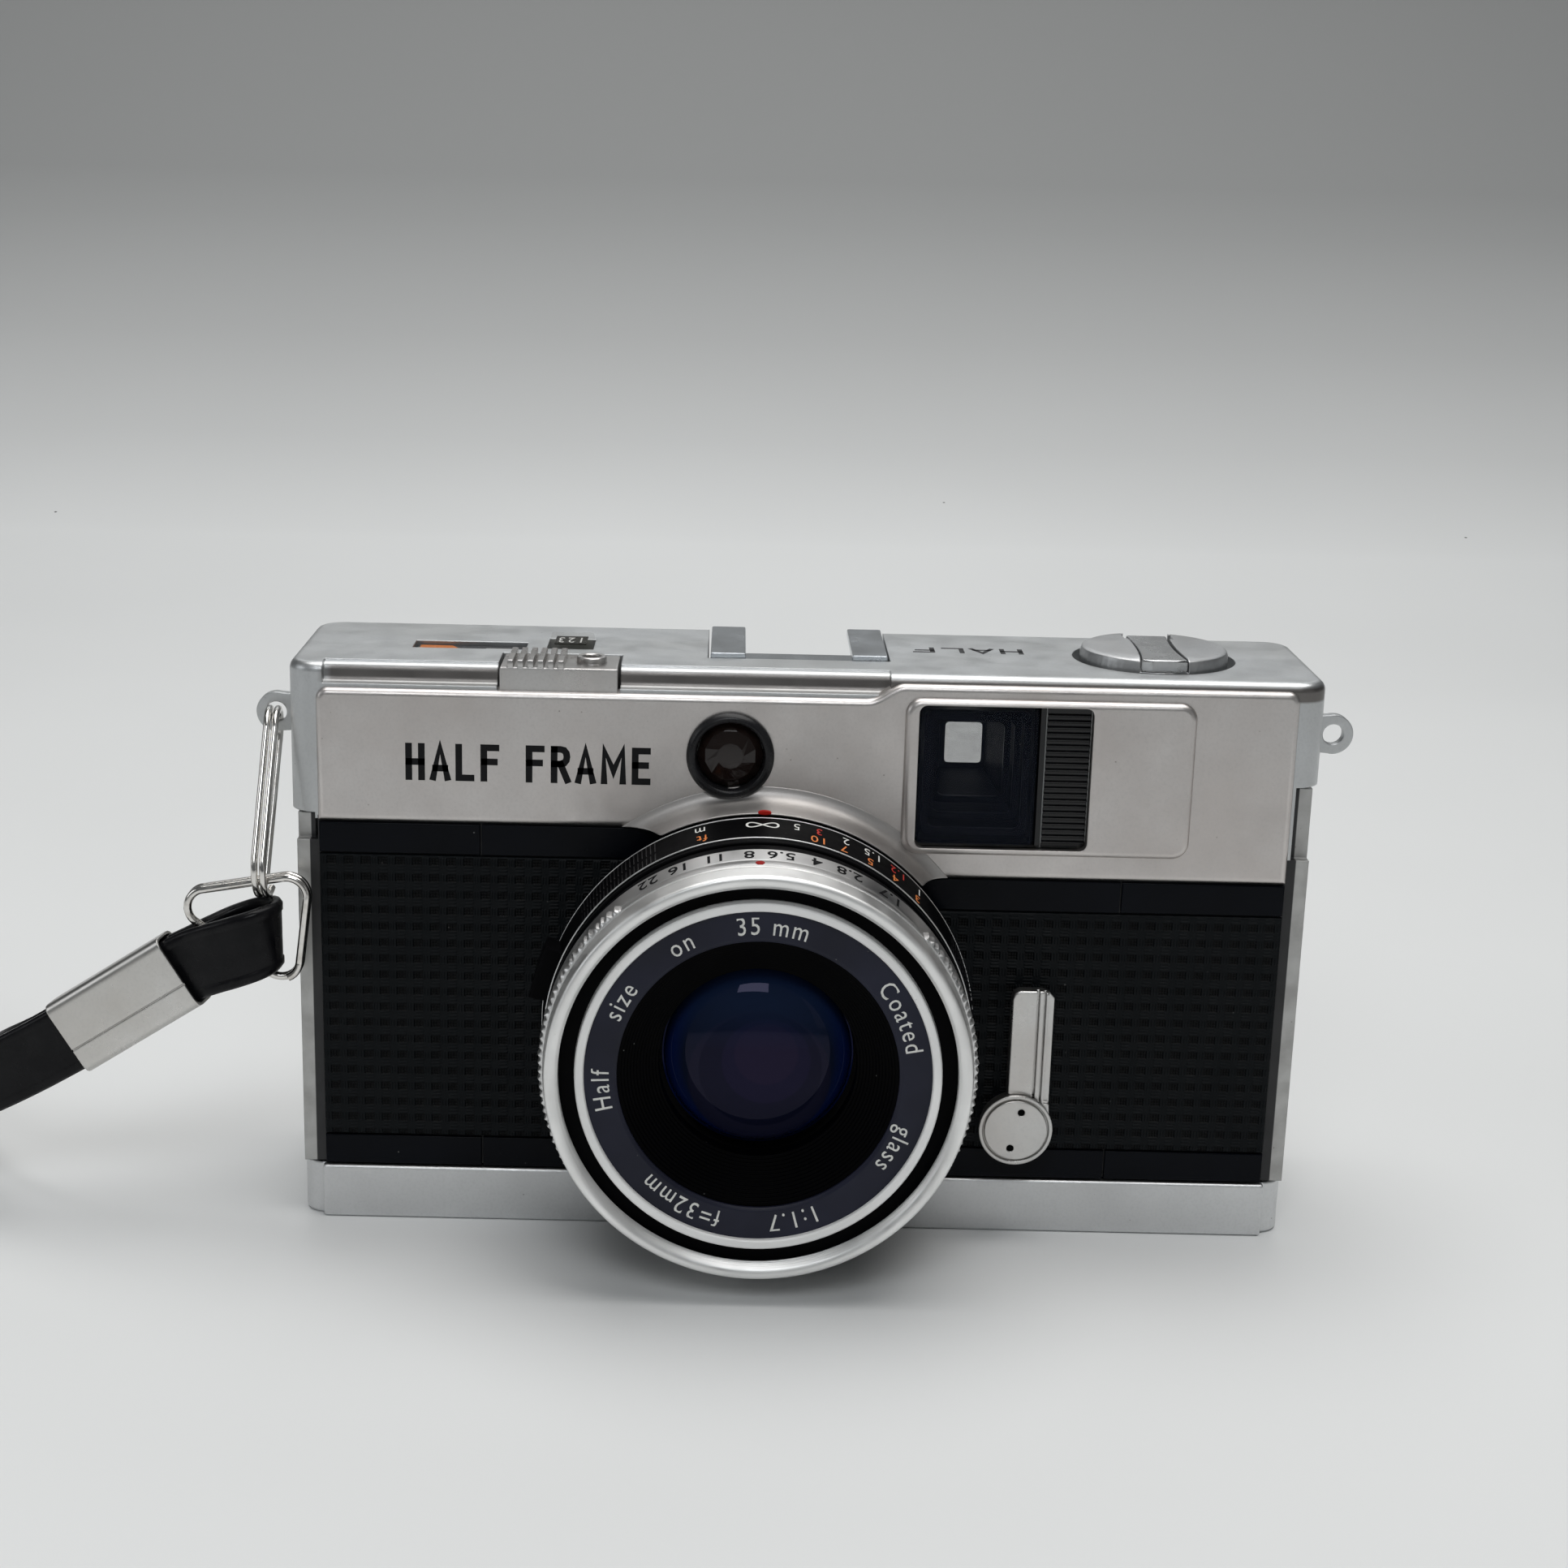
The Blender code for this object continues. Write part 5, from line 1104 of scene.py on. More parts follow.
def lens():
    """Rings, glass and lettering of the lens, all turned about its axis."""
    axis = (LENS_X, LENS_Z)
    enamel = gloss_black("lens_enamel", (0.0015, 0.0015, 0.0018), 0.4, (0.38, 0.5), 0.004, 0.03)
    satin_black = gloss_black("lens_satin_black", (0.004, 0.004, 0.005), 0.5, (0.28, 0.42), 0.02, 0.3)
    silver = machined("silver_ring", (0.74, 0.74, 0.735), (0.3, 0.42))
    bright = machined("bright_ring", (0.90, 0.90, 0.89), (0.36, 0.5))
    white_rim = machined("white_rim", (0.95, 0.95, 0.94), (0.5, 0.62), 0.25)
    flange = eased([(23.9, 3.3), (23.9, 1.0), (19.4, 1.0), (19.4, -0.2), (18.0, -0.2), (18.0, -4.5), (17.0, -4.5),
                    (17.0, 3.3)], 0.12)
    finished("mount_flange", lathe_mesh(flange, axis), enamel, "root", ("lens_flange",))

    focus = [(23.6, 10.9), (23.75, 10.8), (23.75, 10.35), (23.9, 10.15), (24.0, 9.95), (24.55, 4.1), (24.55, 3.65),
             (20.2, 3.6), (20.2, 10.9)]
    finished("focus_body", lathe_mesh(eased(focus, 0.1), axis, 180), enamel, "focus_ring", ("focus_ring",))
    grip_zones = ((-55, -29), (62, 95), (150, 178), (-140, -112))
    grips = []
    for low, high in grip_zones:
        band = [(24.12, 9.8), (24.3, 7.9), (24.22, 7.1), (24.4, 6.9), (24.62, 4.3), (23.6, 4.3), (23.6, 9.8)]
        grips.append(lathe_mesh(band, axis, 240, (low, high),
                                edge=knurl(1.3, 0.42, ((low, high),), (0, 1, 2, 3, 4))))
    finished("focus_grips", merged(*grips), satin_black, "focus_ring", crease=20)
    tab = [(26.1, 8.9), (26.1, 5.2), (23.0, 5.0), (23.0, 9.1)]
    finished("focus_tab", lathe_mesh(eased(tab, 0.5), axis, 12, (-80, -66)), enamel, "focus_ring")
    edge_line = merged(lathe_mesh([(24.6, 3.95), (24.6, 3.72), (24.2, 3.62), (24.2, 3.95)], axis, 160),
                       lathe_mesh([(24.03, 10.1), (24.05, 9.98), (23.8, 9.98), (23.8, 10.1)], axis, 160))
    finished("focus_edge_lines", edge_line, bright, "focus_ring")
    white = printed("white_paint", (0.75, 0.75, 0.72))
    orange = printed("orange_paint", (0.72, 0.22, 0.06))
    red = printed("red_paint", (0.55, 0.04, 0.03))
    metres = ((-16.5, "m"), (9.0, "5"), (22.5, "2"), (30.5, "1.5"), (46.5, "1"))
    rear_row, front_row = (24.49, 24.31, 4.7, 6.6), (24.25, 24.07, 7.2, 9.1)
    marks = [bent(glyphs(word, 2.7, 1.15, 0.66), on_cone(angle, *rear_row), 0.015) for angle, word in metres]
    marks.append(bent(infinity_sign(1.75, 0.7, 0.26), on_cone(0.0, 24.45, 24.26, 5.1, 7.1), 0.02))
    finished("metre_scale", merged(*marks), white, "focus_ring")
    reds = [bent(glyphs(word, 2.6, 1.15, 0.66), on_cone(angle, *rear_row), 0.015) for angle, word in ((15.0, "3"), (38.8, "1.2"))]
    finished("portrait_marks", merged(*reds), red, "focus_ring")
    feet = ((-16.0, "ft"), (15.0, "10"), (22.0, "7"), (29.7, "5"), (37.8, "4"), (45.8, "3"))
    marks = [bent(glyphs(word, 2.7, 1.15, 0.7), on_cone(angle, *front_row), 0.015) for angle, word in feet]
    finished("foot_scale", merged(*marks), orange, "focus_ring")

    barrel = eased([(23.2, 13.9), (23.5, 13.6), (23.5, 11.3), (19.8, 11.3), (19.8, 3.7), (16.6, 3.7), (16.6, -5.5),
                    (8.9, -5.5), (8.9, 1.9), (13.6, 1.9), (13.6, 13.9)], 0.1)
    finished("barrel_body", lathe_mesh(barrel, axis), enamel, "lens_unit", ("lens_barrel",))

    zones = ((-128, -40), (48, 130), (160, 179.9), (-179.9, -160))
    slope = [(21.2, 19.2), (21.2, 14.2), (23.72, 14.2), (23.86, 14.35), (23.46, 16.85), (23.4, 16.95)]
    teeth = [(24.0, 17.1), (24.05, 17.3), (24.05, 18.7), (23.95, 18.95)]
    first = len(slope)
    ring = lathe_mesh(slope + teeth + [(23.5, 19.2)], axis, 540,
                      edge=knurl(2.25, 0.42, zones, (first, first + 1, first + 2, first + 3), 0.62))
    finished("aperture_body", ring, silver, "aperture_ring", ("aperture_ring",), 28)
    ink = printed("stop_ink", (0.004, 0.004, 0.005), 0.7)
    stops = ((-31.5, "22"), (-22.5, "16"), (-12.7, "11"), (-3.6, "8"), (4.8, "5.6"), (14.2, "4"), (23.4, "2.8"), (36, "1.7"))
    marks = [bent(glyphs(word, 2.5, 1.05, 1.0, 0.03), on_cone(angle, 23.86, 23.46, 14.35, 16.85), 0.02) for angle, word in stops]
    finished("stop_numbers", merged(*marks), ink, "aperture_ring")
    dot = bent(disc_letters(0.5, 0.7), on_ring_side(-0.8, 23.44, 18.2))
    finished("stop_index", dot, printed("index_red", (0.30, 0.012, 0.01)), "aperture_ring")

    lip = [(19.9, 14.2), (20.5, 14.2), (20.5, 19.3), (23.1, 19.3), (23.15, 19.5), (23.4, 19.7), (23.4, 20.0),
           (23.1, 21.4), (23.16, 21.75), (23.02, 22.1), (22.75, 22.24), (22.35, 22.25), (21.98, 22.1), (21.85, 21.95)]
    threads, pitch = 4, 0.45
    for turn in range(threads):
        t = 21.75 - turn * pitch
        lip += [(21.62, t), (21.86, t - pitch / 2)]
    lip += [(21.8, 19.95), (19.9, 19.95)]
    finished("filter_lip", lathe_mesh(lip, axis, 160), bright, "lens_unit", ("filter_ring",), 45)
    floor = [(21.75, 20.06), (21.75, 19.9), (19.95, 19.9), (19.95, 20.06)]
    finished("filter_floor", lathe_mesh(floor, axis, 128), enamel, "lens_unit")
    face = eased([(19.0, 20.62), (19.0, 14.4), (18.4, 14.4), (18.4, 20.0), (15.3, 20.0), (15.3, 20.35), (15.7, 20.55)],
                 0.05)
    navy = gloss_black("name_navy", (0.009, 0.010, 0.020), 0.35, (0.32, 0.46), 0.01, shine=0.22)
    finished("name_face", lathe_mesh(face, axis), navy, "lens_unit", ("name_ring",))
    rim = eased([(19.86, 21.15), (19.86, 14.4), (18.85, 14.4), (18.85, 21.1), (19.0, 21.3), (19.7, 21.3)], 0.06)
    finished("name_rim", lathe_mesh(rim, axis), white_rim, "lens_unit")
    words = ((-96.5, "Half"), (-61, "size"), (-30, "on"), (4, "35 mm"), (65, "Coated"), (118, "glass"),
             (165, "1:1.7"), (209, "f=32mm"))
    marks = [bent(glyphs(word, 2.9, 1.2, 0.85), on_ring_face(angle, 17.02, 20.57), 0.03) for angle, word in words]
    finished("name_words", merged(*marks), white, "lens_unit")

    cone = [(17.9, 19.9), (17.9, 14.3), (10.9, 14.3), (10.9, 16.0)]
    ridges = 13
    for i in range(ridges):
        r = 10.9 + (15.2 - 10.9) * i / ridges
        t = 16.0 + (19.9 - 16.0) * i / ridges
        step_r, step_t = (15.2 - 10.9) / ridges, (19.9 - 16.0) / ridges
        cone += [(r + 0.02, t + step_t * 0.75), (r + step_r * 0.9, t + step_t)]
    cone += [(15.3, 19.95)]
    matt = gloss_black("baffle_black", (0.0008, 0.0008, 0.001), 0.5, (0.36, 0.5), 0.02, 0.03)
    finished("ridged_baffle", lathe_mesh(cone, axis, 128), matt, "lens_unit", ("front_baffle",), 30)
    dome = []
    rings = 24
    for i in range(rings + 1):
        a = math.pi / 2 * i / rings
        dome.append((max(0.002, 10.6 * math.sin(a)), 16.6 - 26.0 * (1 - math.cos(0.4 * a))))
    glass = lathe_mesh(dome + [(10.6, 12.6), (0.002, 12.6)], axis, 96)
    finished("front_glass", glass, coated_glass(), "lens_unit", ("front_lens",), 50)


def on_cone(angle, r0, r1, t0, t1):
    """On a slope that widens forwards, to be read from behind."""
    middle_r, middle_t = (r0 + r1) / 2, (t0 + t1) / 2
    run = math.hypot(r1 - r0, t1 - t0)
    dr, dt = (r1 - r0) / run, (t1 - t0) / run

    def where(a, b, lift):
        turn = math.radians(angle) - a / middle_r
        r = middle_r + b * dr + lift * dt
        return (LENS_X + r * math.sin(turn), FRONT - (middle_t + b * dt - lift * dr), LENS_Z + r * math.cos(turn))
    return where


def disc_letters(half_a, half_b, steps=20):
    bm = bmesh.new()
    bm.faces.new([bm.verts.new((half_a * math.cos(2 * math.pi * i / steps), half_b * math.sin(2 * math.pi * i / steps), 0))
                  for i in range(steps)])
    return bm


def infinity_sign(half, tall, thick, steps=48):
    """A lying figure of eight as a flat band."""
    bm = bmesh.new()
    rows = []
    for i in range(steps):
        a = 2 * math.pi * i / steps
        x, y = half * math.cos(a), tall * math.sin(2 * a)
        dx, dy = -half * math.sin(a), 2 * tall * math.cos(2 * a)
        run = math.hypot(dx, dy)
        nx, ny = -dy / run * thick / 2, dx / run * thick / 2
        rows.append((bm.verts.new((x - nx, y - ny, 0)), bm.verts.new((x + nx, y + ny, 0))))
    for a, b in zip(rows, rows[1:] + rows[:1]):
        bm.faces.new((a[0], a[1], b[1], b[0]))
    return bm


# ---------------------------------------------------------------- finder, meter, top plate, timer

def rectangle_frame(x, z, wall, low, high, edge=0.12):
    """A thin upright frame seen through the finder; heights run forwards."""
    inner = rounded_box((x[0] + wall, x[1] - wall), (z[0] + wall, z[1] - wall), 0.8)
    return slab_mesh(rounded_box(x, z, 0.9), low, high, "y", [inner], edge)


def finder():
    """Front pane, the nested masks behind it, the eyepiece glow and the ribbed light window."""
    pane = clear_glass("finder_glass", (0.016, 0.021, 0.036), 0.02, 0.17, 0.14)
    low, high = span("viewfinder_window")
    front = FRONT - low.y
    glass = slab_mesh(rounded_box((low.x, high.x), (low.z, high.z), 0.8), front - (high.y - low.y), front, "y", edge=0.12)
    finished("finder_pane", glass, pane, "root", ("viewfinder_window",))
    dark = gloss_black("finder_masks", (0.0022, 0.0026, 0.0048), 0.3, (0.3, 0.45), 0.02, 0.05)
    masks = []
    for shrink, depth in ((0.9, -1.6), (1.9, -4.6), (2.9, -8.4)):
        masks.append(rectangle_frame((low.x + shrink * 0.75, high.x - shrink * 0.75), (low.z + shrink, high.z - shrink),
                                     0.75, depth - 0.6, depth, 0.1))
    finished("finder_frames", merged(*masks), dark, "root")
    stop = slab_mesh(rounded_box((16.0, 24.0), (48.9, 58.2), 0.4), FRONT - 11.55, FRONT - 11.3, "y",
                     [rounded_box((17.65, 22.15), (50.8, 55.9), 0.5)], 0.08)
    grey = gloss_black("finder_stop", (0.045, 0.048, 0.055), 0.3, (0.4, 0.5), 0.02, 0.05)
    finished("eyepiece_stop", stop, grey, "root")
    rear_low, rear_high = span("eyepiece")
    window = clear_glass("eyepiece_glass", (0.8, 0.84, 0.84), 0.05, 0.25)
    eye = slab_mesh(rounded_box((rear_low.x, rear_high.x), (rear_low.z, rear_high.z), 0.5), FRONT - rear_high.y,
                    FRONT - rear_low.y, "y", edge=0.15, both=True)
    finished("eyepiece_pane", eye, window, "root", ("eyepiece",))
    ribs = gloss_black("ribbed_window", (0.001, 0.0013, 0.002), 0.4, (0.09, 0.15), 0.006, 0.4)
    x0, x1 = SCREEN_LOW.x, SCREEN_HIGH.x
    near, back, z0, z1 = SCREEN_LOW.y, SCREEN_HIGH.y, SCREEN_LOW.z, SCREEN_HIGH.z
    outline, pitch, depth = [(back, z0), (near + 0.34, z0)], (z1 - z0 - 0.8) / 22, 0.34
    for i in range(22):
        z = z0 + 0.4 + pitch * i
        outline += [(near + depth, z), (near + 0.04, z + pitch * 0.12), (near, z + pitch * 0.2), (near, z + pitch * 0.34),
                    (near + depth, z + pitch * 0.5)]
    outline += [(near + depth, z1), (back, z1)]
    rows = slab_mesh(outline, x0 + 0.75, x1, "x", edge=0)
    strip = box_mesh((x0, x0 + 0.6), (near + 0.15, back), (z0, z1), 0.1)
    screen = merged(rows, strip)
    finished("ribbed_screen", screen, ribs, "root", ("viewfinder_screen",), 30)


def meter():
    """Faceted cell beside the finder, and the needle window on the top plate."""
    rim = [(4.2, 1.1), (4.55, 1.0), (4.95, 0.55), (4.95, 0.0), (4.35, -0.2), (4.35, -4.2), (3.85, -4.2), (3.8, 0.2), (3.95, 0.95)]
    black = gloss_black("cell_ring", (0.008, 0.008, 0.009), 0.4, (0.2, 0.35), 0.02)
    finished("cell_bezel", lathe_mesh(eased(rim, 0.15), (CELL_X, CELL_Z), 72), black, "root", ("meter_cell_bezel",))
    low, high = span("meter_cell_lens")
    amber = gloss_black("cell_lens", (0.010, 0.006, 0.005), 0.3, (0.08, 0.16), 0.01, 0.4)
    back = FRONT - high.y
    facets = bmesh.new()
    centre = facets.verts.new((CELL_X, FRONT - 0.55, CELL_Z))
    rings = []
    for radius, t, turn in ((1.5, 0.45, 0.0), (2.9, 0.1, 0.5), (3.75, -0.5, 0.0), (3.75, back, 0.0)):
        count = 12
        rings.append([facets.verts.new((CELL_X + radius * math.cos(2 * math.pi * (i + turn) / count), FRONT - t,
                                        CELL_Z + radius * math.sin(2 * math.pi * (i + turn) / count))) for i in range(count)])
    for i in range(12):
        j = (i + 1) % 12
        facets.faces.new((centre, rings[0][i], rings[0][j]))
        for near, far in zip(rings, rings[1:]):
            facets.faces.new((near[i], near[j], far[j]))
            facets.faces.new((near[i], far[j], far[i]))
    facets.faces.new(rings[-1])
    finished("cell_facets", facets, amber, "root", ("meter_cell_lens",), 4)
    low, high = span("meter_window")
    pane = clear_glass("meter_glass", (0.04, 0.045, 0.05), 0.04, 0.06, 0.1)
    finished("meter_pane", box_mesh((low.x, high.x), (low.y, high.y), (high.z - 0.3, high.z - 0.03), 0.1), pane, "root",
             ("meter_window",))
    scale = printed("meter_card", (0.05, 0.052, 0.055), 0.6)
    deck = high.z - 0.5
    finished("meter_plate", box_mesh((low.x + 0.2, high.x - 0.2), (low.y + 0.2, high.y - 0.2), (deck - 0.2, deck), 0.05),
             scale, "root")
    orange = printed("meter_orange", (0.60, 0.19, 0.05), 0.6)
    grey = printed("meter_grey", (0.42, 0.42, 0.42), 0.6)
    wedge = slab_mesh([(low.x + 0.5, low.y + 0.5), (low.x + 5.4, low.y + 0.7), (low.x + 7.4, low.y + 1.7),
                       (low.x + 5.0, low.y + 2.1), (low.x + 4.2, high.y - 0.5), (low.x + 0.5, high.y - 0.4)],
                      deck, deck + 0.06, "z", edge=0)
    finished("meter_red_zone", wedge, orange, "root")
    bar = slab_mesh([(low.x + 8.2, low.y + 1.3), (low.x + 12.0, low.y + 1.3), (low.x + 12.0, low.y + 2.4),
                     (low.x + 8.2, low.y + 2.4)], deck, deck + 0.06, "z", edge=0)
    finished("meter_marks", bar, grey, "root")


def counter():
    low, high = span("counter_window")
    block = clear_glass("counter_glass", (0.32, 0.31, 0.26), 0.04, 0.10, 0.2)
    body = box_mesh((low.x, high.x), (low.y, high.y), (low.z, high.z), 0.45)
    finished("counter_pane", body, block, "root", ("counter_window",))
    white = printed("counter_white", (0.62, 0.62, 0.60), 0.6)
    level = high.z - 0.42
    card = box_mesh((low.x + 0.7, high.x - 0.7), (low.y + 0.7, high.y - 0.7), (level - 0.15, level), 0.03)
    finished("counter_card", card, printed("counter_black", (0.004, 0.004, 0.004), 0.6), "root")
    middle = (low.x + high.x) / 2, (low.y + high.y) / 2
    digits = [bent(glyphs(word, 4.2, 1.0, 0.42), on_top(middle[0] + shift, middle[1], level, math.pi), 0.02)
              for word, shift in (("1", 1.15), ("2", 0.0), ("3", -1.15))]
    finished("counter_image", merged(*digits), white, "root")
    dial_low, dial_high = span("counter_dial")
    ticks = [box_mesh((low.x + 1.1 + 0.62 * i, low.x + 1.35 + 0.62 * i), (low.y + 1.6, low.y + (2.9 if i % 2 else 3.5)),
                      (dial_high.z + 0.01, dial_high.z + 0.05), 0) for i in range(5)]
    finished("counter_digits", merged(*ticks), white, "counter_dial")


def release():
    """Shutter button: flush front, six thin ridges on top and the cable thread at its right."""
    chrome = satin_chrome("button_chrome", (0.56, 0.55, 0.54), (0.50, 0.47, 0.45), 0.01, (0.24, 0.36), 0.4)
    x, y, z = (BUTTON_LOW.x, BUTTON_HIGH.x), (BUTTON_LOW.y, BUTTON_HIGH.y), (BUTTON_LOW.z, BUTTON_HIGH.z)
    body = box_mesh(x, y, (z[1] - 4.6, z[1] - 0.85), 0.2)
    socket = drum(x[1] - 3.1, (y[0] + y[1]) / 2, 1.75, z[1] - 1.6, z[1] + 2, 36)
    parts = [carved(body, socket)]
    for i in range(6):
        at = x[0] + 0.85 + 1.13 * i
        parts.append(box_mesh((at, at + 0.66), (y[0] + 0.06, y[1] - 0.25), (z[1] - 1.0, z[1] - 0.02), 0.1))
    bush = lathe_mesh([(1.7, 0.0), (1.7, 1.35), (1.55, 1.5), (1.2, 1.5), (1.05, 1.35), (1.05, 0.2), (0.05, 0.0)],
                      (0, 0), 40)
    turn = Matrix(((1, 0, 0, x[1] - 3.1), (0, 0, 1, (y[0] + y[1]) / 2), (0, -1, 0, z[1] - 1.6 + FRONT), (0, 0, 0, 1)))
    bmesh.ops.transform(bush, matrix=turn, verts=bush.verts)
    parts.append(bush)
    finished("shutter_button", merged(*parts), chrome, "release_button", ("release_button",))


def hot_shoe():
    """Folded rail plate with a hole for the contact."""
    steel = satin_chrome("shoe_steel", (0.60, 0.63, 0.66), (0.54, 0.57, 0.60), 0.008, (0.16, 0.30), 0.4)
    x, y, z = (SHOE_LOW.x, SHOE_HIGH.x), (SHOE_LOW.y, SHOE_HIGH.y), (SHOE_LOW.z, SHOE_HIGH.z)
    bed = 63.85
    half, lip, slot = (x[1] - x[0]) / 2, 6.1, 9.3
    section = [(-half, z[0]), (half, z[0]), (half, z[1]), (lip, z[1]), (lip, z[1] - 0.95), (slot, z[1] - 0.95),
               (slot, bed), (-slot, bed), (-slot, z[1] - 0.95), (-lip, z[1] - 0.95), (-lip, z[1]), (-half, z[1])]
    plate = bmesh.new()
    section = eased(section, 0.22, 3)
    rings = [[plate.verts.new((SHOE_X + a, depth, b)) for a, b in section] for depth in (y[0], y[1])]
    for i in range(len(section)):
        j = (i + 1) % len(section)
        plate.faces.new((rings[0][i], rings[0][j], rings[1][j], rings[1][i]))
    plate.faces.new(rings[0])
    plate.faces.new(rings[1][::-1])
    contact = drum(SHOE_X, 2.9, 2.75, bed - 3, bed + 3, 40)
    bevels = [slab_mesh([(y[0] - 1, z[1] - 0.5), (y[0] + 0.9, z[1] + 0.4), (y[0] + 0.9, z[1] + 2), (y[0] - 1, z[1] + 2)],
                        SHOE_X - 12, SHOE_X + 12, "x", edge=0)]
    finished("shoe_rails", carved(plate, contact, *bevels), steel, "root", ("hot_shoe",))


def rewind():
    """Knob with a folding crank across it."""
    matte = satin_chrome("knob_grey", (0.55, 0.56, 0.57), (0.50, 0.50, 0.50), 0.02, (0.34, 0.46), 0.3)
    bright = satin_chrome("crank_chrome", (0.66, 0.67, 0.68), (0.60, 0.60, 0.60), 0.008, (0.2, 0.32), 0.3)
    radius = (KNOB_HIGH.x - KNOB_LOW.x) / 2
    low, high = KNOB_LOW.z, KNOB_HIGH.z
    crank_low, crank_high = span("rewind_crank")
    profile = [(0.0, low), (radius - 0.35, low), (radius, low + 0.3), (radius, high - 0.8), (radius - 0.25, high - 0.3),
               (radius - 0.8, high), (0.0, high)]
    body = bmesh.new()
    steps = 128
    rings = []
    for i in range(steps):
        a = 2 * math.pi * i / steps
        flute = 0.16 * abs(math.sin(a * 36))
        rings.append([body.verts.new((KNOB_X + max(r - (flute if 1 < k < 4 else 0), 0.001) * math.cos(a),
                                      KNOB_Y + max(r - (flute if 1 < k < 4 else 0), 0.001) * math.sin(a), z))
                      for k, (r, z) in enumerate(profile)])
    for a, b in zip(rings, rings[1:] + rings[:1]):
        for k in range(len(profile) - 1):
            body.faces.new((a[k], b[k], b[k + 1], a[k + 1]))
    bmesh.ops.remove_doubles(body, verts=body.verts, dist=0.01)
    slot = waisted(2.95, 2.35, radius + 1, high - 1.5, high + 3)
    well = box_mesh((KNOB_X - 2.9, KNOB_X + 2.9), (crank_high.y - 2.0, crank_high.y + 0.8), (high - 2.2, high + 3), 0)
    finished("knob_body", carved(body, slot, well), matte, "rewind_knob", ("rewind_knob",))
    arm = waisted(2.65, 2.05, radius - 0.15, high - 1.4, min(crank_high.z, high - 0.02), 0.2)
    trim = drum(KNOB_X, KNOB_Y, radius - 0.05, high - 4, high + 4, 96)
    behind = box_mesh((KNOB_X - 5, KNOB_X + 5), (crank_high.y, KNOB_Y + radius + 2), (high - 5, high + 5), 0)
    arm = intersected(carved(arm, behind), trim)
    finished("crank_arm", arm, bright, "rewind_crank", ("rewind_crank",))


def waisted(end, middle, reach, low, high, edge=0.0):
    """A strip across the knob, narrower at its middle."""
    outline = []
    steps = 24
    for i in range(steps + 1):
        y = -reach + 2 * reach * i / steps
        s = abs(y) / reach
        outline.append((KNOB_X + middle + (end - middle) * s * s, KNOB_Y + y))
    for i in range(steps + 1):
        y = reach - 2 * reach * i / steps
        s = abs(y) / reach
        outline.append((KNOB_X - middle - (end - middle) * s * s, KNOB_Y + y))
    return slab_mesh(outline, low, high, "z", edge=edge)


def intersected(bm, other):
    """What two bmeshes share, by cutting bm with what is left of it outside the other."""
    copy = bm.copy()
    outside = carved(copy, other)
    return carved(bm, outside)


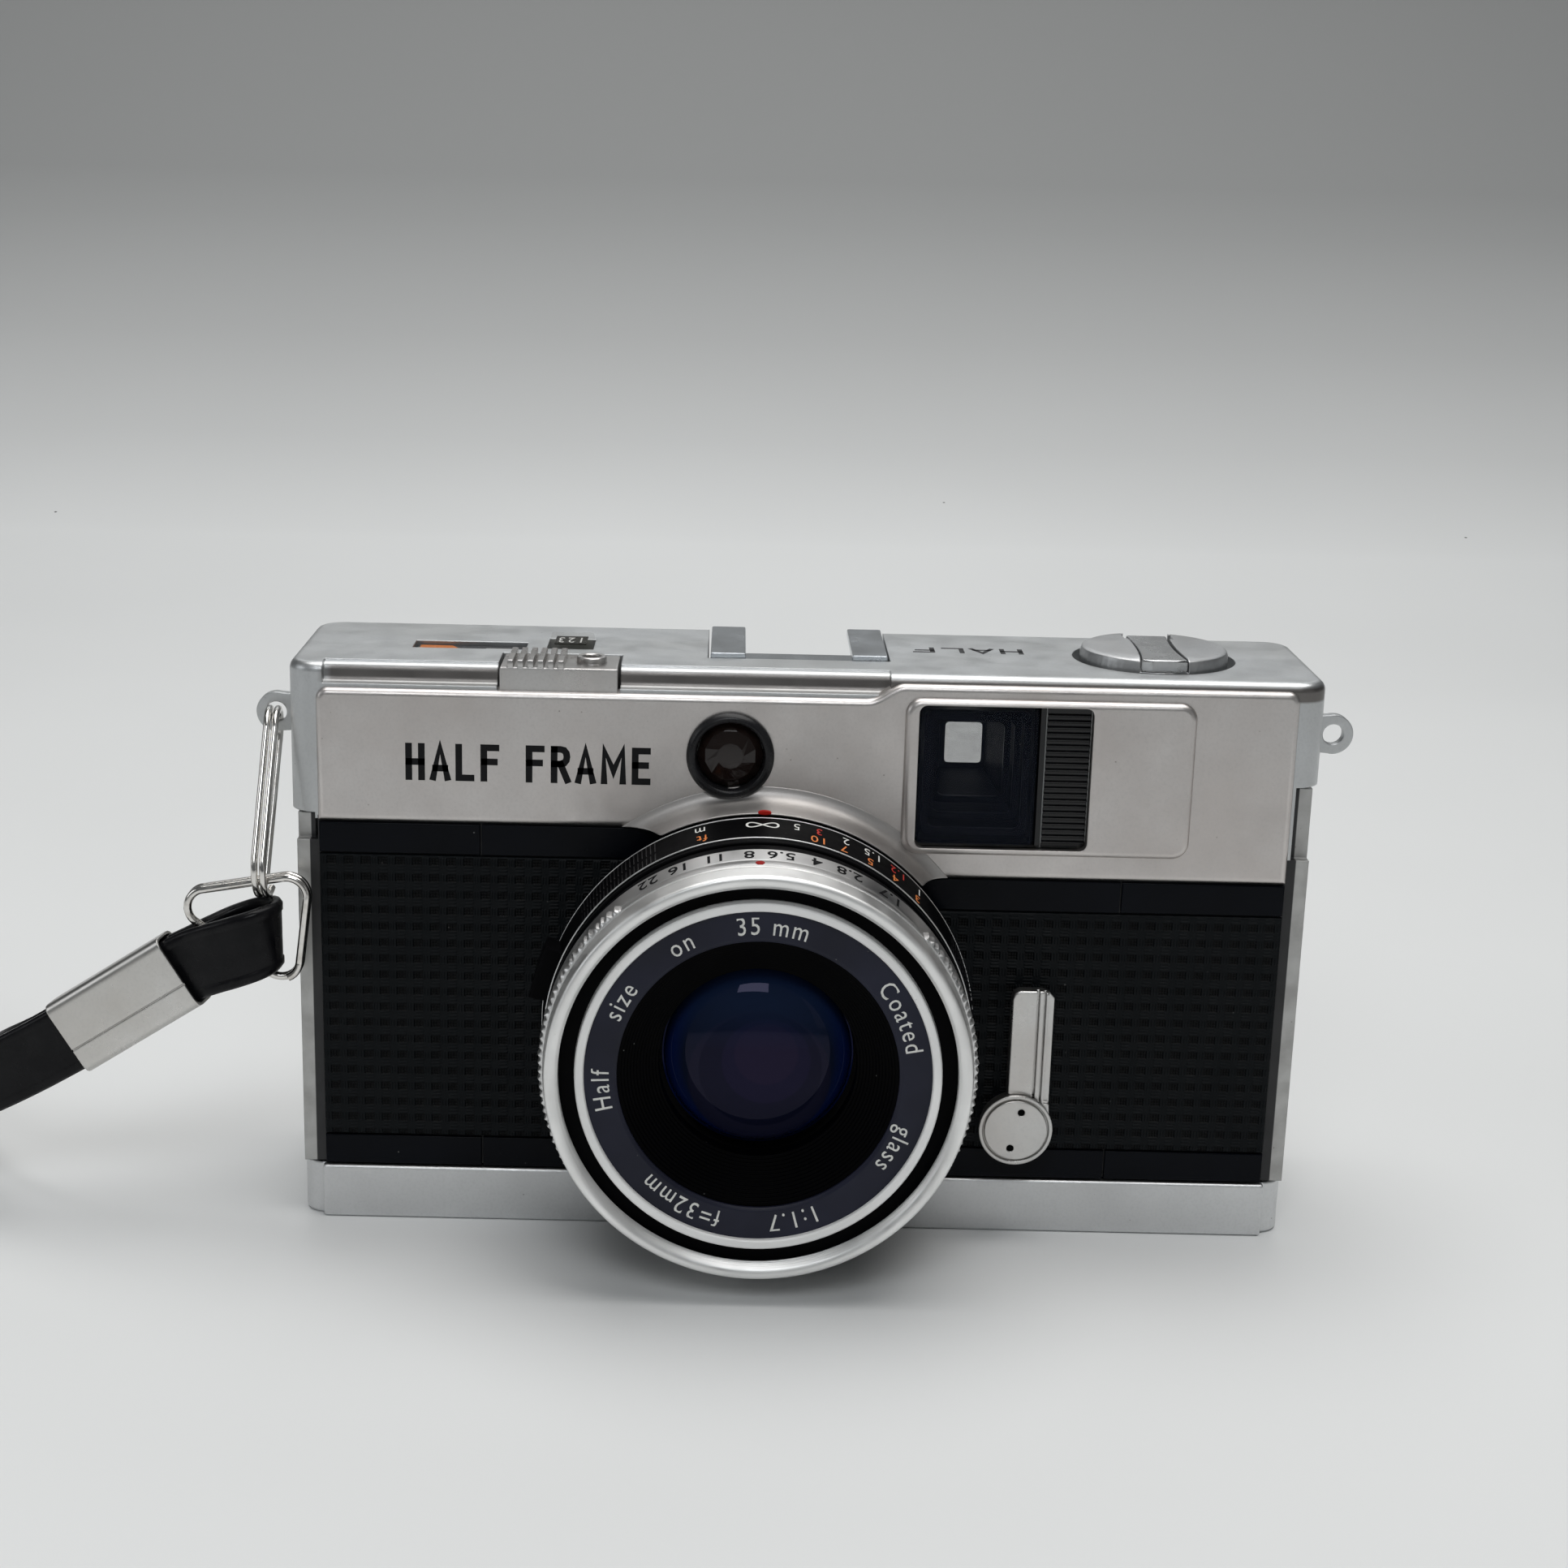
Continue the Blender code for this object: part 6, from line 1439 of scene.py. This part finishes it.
def timer():
    """Self-timer lever: tapered arm, stepped grip on its right and the two-hole disc."""
    satin = satin_chrome("timer_satin", (0.60, 0.60, 0.59), (0.54, 0.52, 0.50), 0.01, (0.24, 0.36), 0.5)
    low, high = span("self_timer_lever")
    t0, t1 = 1.35, FRONT - low.y
    x0, x1, top = low.x, high.x, high.z
    outline = []
    for i in range(25):
        a = math.radians(180 + 180 * i / 24)
        outline.append((TIMER_X + 4.0 * math.cos(a), TIMER_Z + 4.0 * math.sin(a)))
    width_x0, width_x1 = max(x0, 24.3), min(x1, 29.2)
    foot = TIMER_Z + math.sqrt(4.0 ** 2 - (TIMER_X - width_x0) ** 2)
    outline += [(width_x1, TIMER_Z + 3.0), (width_x1, top - 1.0), (width_x1 - 0.7, top - 0.2),
                (width_x1 - 1.4, top), (width_x0 + 0.9, top), (width_x0 + 0.25, top - 0.35), (width_x0, top - 1.0),
                (width_x0, foot)]
    for i in range(1, 6):
        a = math.pi - math.asin((foot - TIMER_Z) / 4.0) * (1 - i / 6)
        outline.append((TIMER_X + 4.0 * math.cos(a), TIMER_Z + 4.0 * math.sin(a)))
    arm = slab_mesh(outline, t0, t1, "y", edge=0.25)
    cuts = []
    for left, right, depth in ((width_x1 - 2.05, width_x1 - 1.75, 0.7), (width_x1 - 1.25, width_x1 - 1.0, 0.7),
                               (width_x1 - 0.7, width_x1 + 3.0, 0.8)):
        cuts.append(slab_mesh([(left, TIMER_Z + 3.0), (right, TIMER_Z + 3.0), (right, top + 2), (left, top + 2)],
                              t1 - depth, t1 + 3, "y", edge=0))
    arm = carved(arm, *cuts)
    post = slab_mesh(circle(TIMER_X, TIMER_Z, 1.6, 24), FRONT - high.y, t0 + 0.2, "y", edge=0)
    finished("timer_arm", merged(arm, post), satin, "self_timer_lever", ("self_timer_lever",))
    radius = (DISC_HIGH.x - DISC_LOW.x) / 2
    face, foot = FRONT - DISC_LOW.y, FRONT - DISC_HIGH.y
    profile = eased([(radius, face - 0.05), (radius, foot), (0.01, foot), (0.01, face), (3.6, face), (3.64, face - 0.5),
                     (3.8, face - 0.5), (3.84, face - 0.05)], 0.06)
    disc = lathe_mesh([(0.01 if r < 0.4 else r, t) for r, t in profile], (TIMER_X, TIMER_Z), 64)
    sites = [(TIMER_X + 0.55 * side, TIMER_Z + 2.2 * side) for side in (-1, 1)]
    holes = [slab_mesh(circle(*site, 0.42, 20), face - 0.5, face + 1, "y", edge=0) for site in sites]
    finished("timer_disc", carved(disc, *holes), satin, "self_timer_lever", ("self_timer_screw",))
    # Painted shade: black discs fill the bottoms of the two spanner holes, standing in for the shade inside them.
    hole_shade_plugs = [slab_mesh(circle(*site, 0.42, 20), face - 0.5, face - 0.2, "y", edge=0) for site in sites]
    hole_shade = gloss_black("spanner_hole_shade", (0.002, 0.002, 0.002), 0.1, (0.5, 0.6), 0.01, 0.02)
    finished("timer_hole_shade", merged(*hole_shade_plugs), hole_shade, "self_timer_lever")


# ---------------------------------------------------------------- CAD pieces that keep their shape

def kept_finishes():
    steel = bright_wire("polished_steel")
    dark = gloss_black("blackened_metal", (0.015, 0.015, 0.016), 0.3, (0.35, 0.5), 0.02)
    plastic = gloss_black("black_plastic", (0.012, 0.012, 0.013), 0.3, (0.3, 0.45), 0.02)
    brass = machined("brass", (0.75, 0.58, 0.30), (0.2, 0.3))
    glass = coated_rear()
    casting = cast_metal()
    dial = printed("dial_black", (0.03, 0.03, 0.032), 0.5)
    orange = printed("needle_orange", (0.65, 0.20, 0.05), 0.5)
    table = {
        casting: ("body_casting", "back_door"),
        steel: ("back_latch", "hinge_pin", "release_spring", "rewind_shaft", "battery", "battery_cover",
                "tripod_socket", "rewind_release_button"),
        dark: ("pressure_plate", "shutter_case", "shutter_blade_upper", "shutter_blade_lower", "meter_movement"),
        plastic: ("advance_wheel", "take_up_spool", "film_sprocket"),
        gloss_black("tube_black", (0.0015, 0.0018, 0.0026), 0.2, (0.4, 0.5), 0.02, 0.03): ("viewfinder_tube",),
        brass: ("shoe_contact",), glass: ("rear_lens",), dial: ("counter_dial",), orange: ("meter_needle",),
    }
    for finish, nodes in table.items():
        for node in nodes:
            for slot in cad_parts[node].material_slots:
                slot.material = finish


def coated_rear():
    return gloss_black("rear_glass", (0.02, 0.02, 0.03), 0.2, (0.04, 0.1), 0.0, Coat_Weight=1.0)


def main():
    view()
    strap()
    split_rings()
    studio()
    chrome = satin_chrome("satin_chrome", (0.62, 0.595, 0.58), (0.56, 0.525, 0.505), roughness=(0.3, 0.44))
    cool = satin_chrome("cool_chrome", COOL, COOL_WORN, roughness=(0.34, 0.48))
    lugs(cool)
    top_cover(chrome, cool)
    # Painted light: the bottom cover takes a lighter copy of the covers' cool plating.
    bottom_cover(satin_chrome("base_chrome_lightened", (0.70, 0.71, 0.715), (0.64, 0.645, 0.65), roughness=(0.34, 0.48)))
    coverings()
    lens()
    finder()
    meter()
    counter()
    release()
    hot_shoe()
    rewind()
    timer()
    kept_finishes()


main()
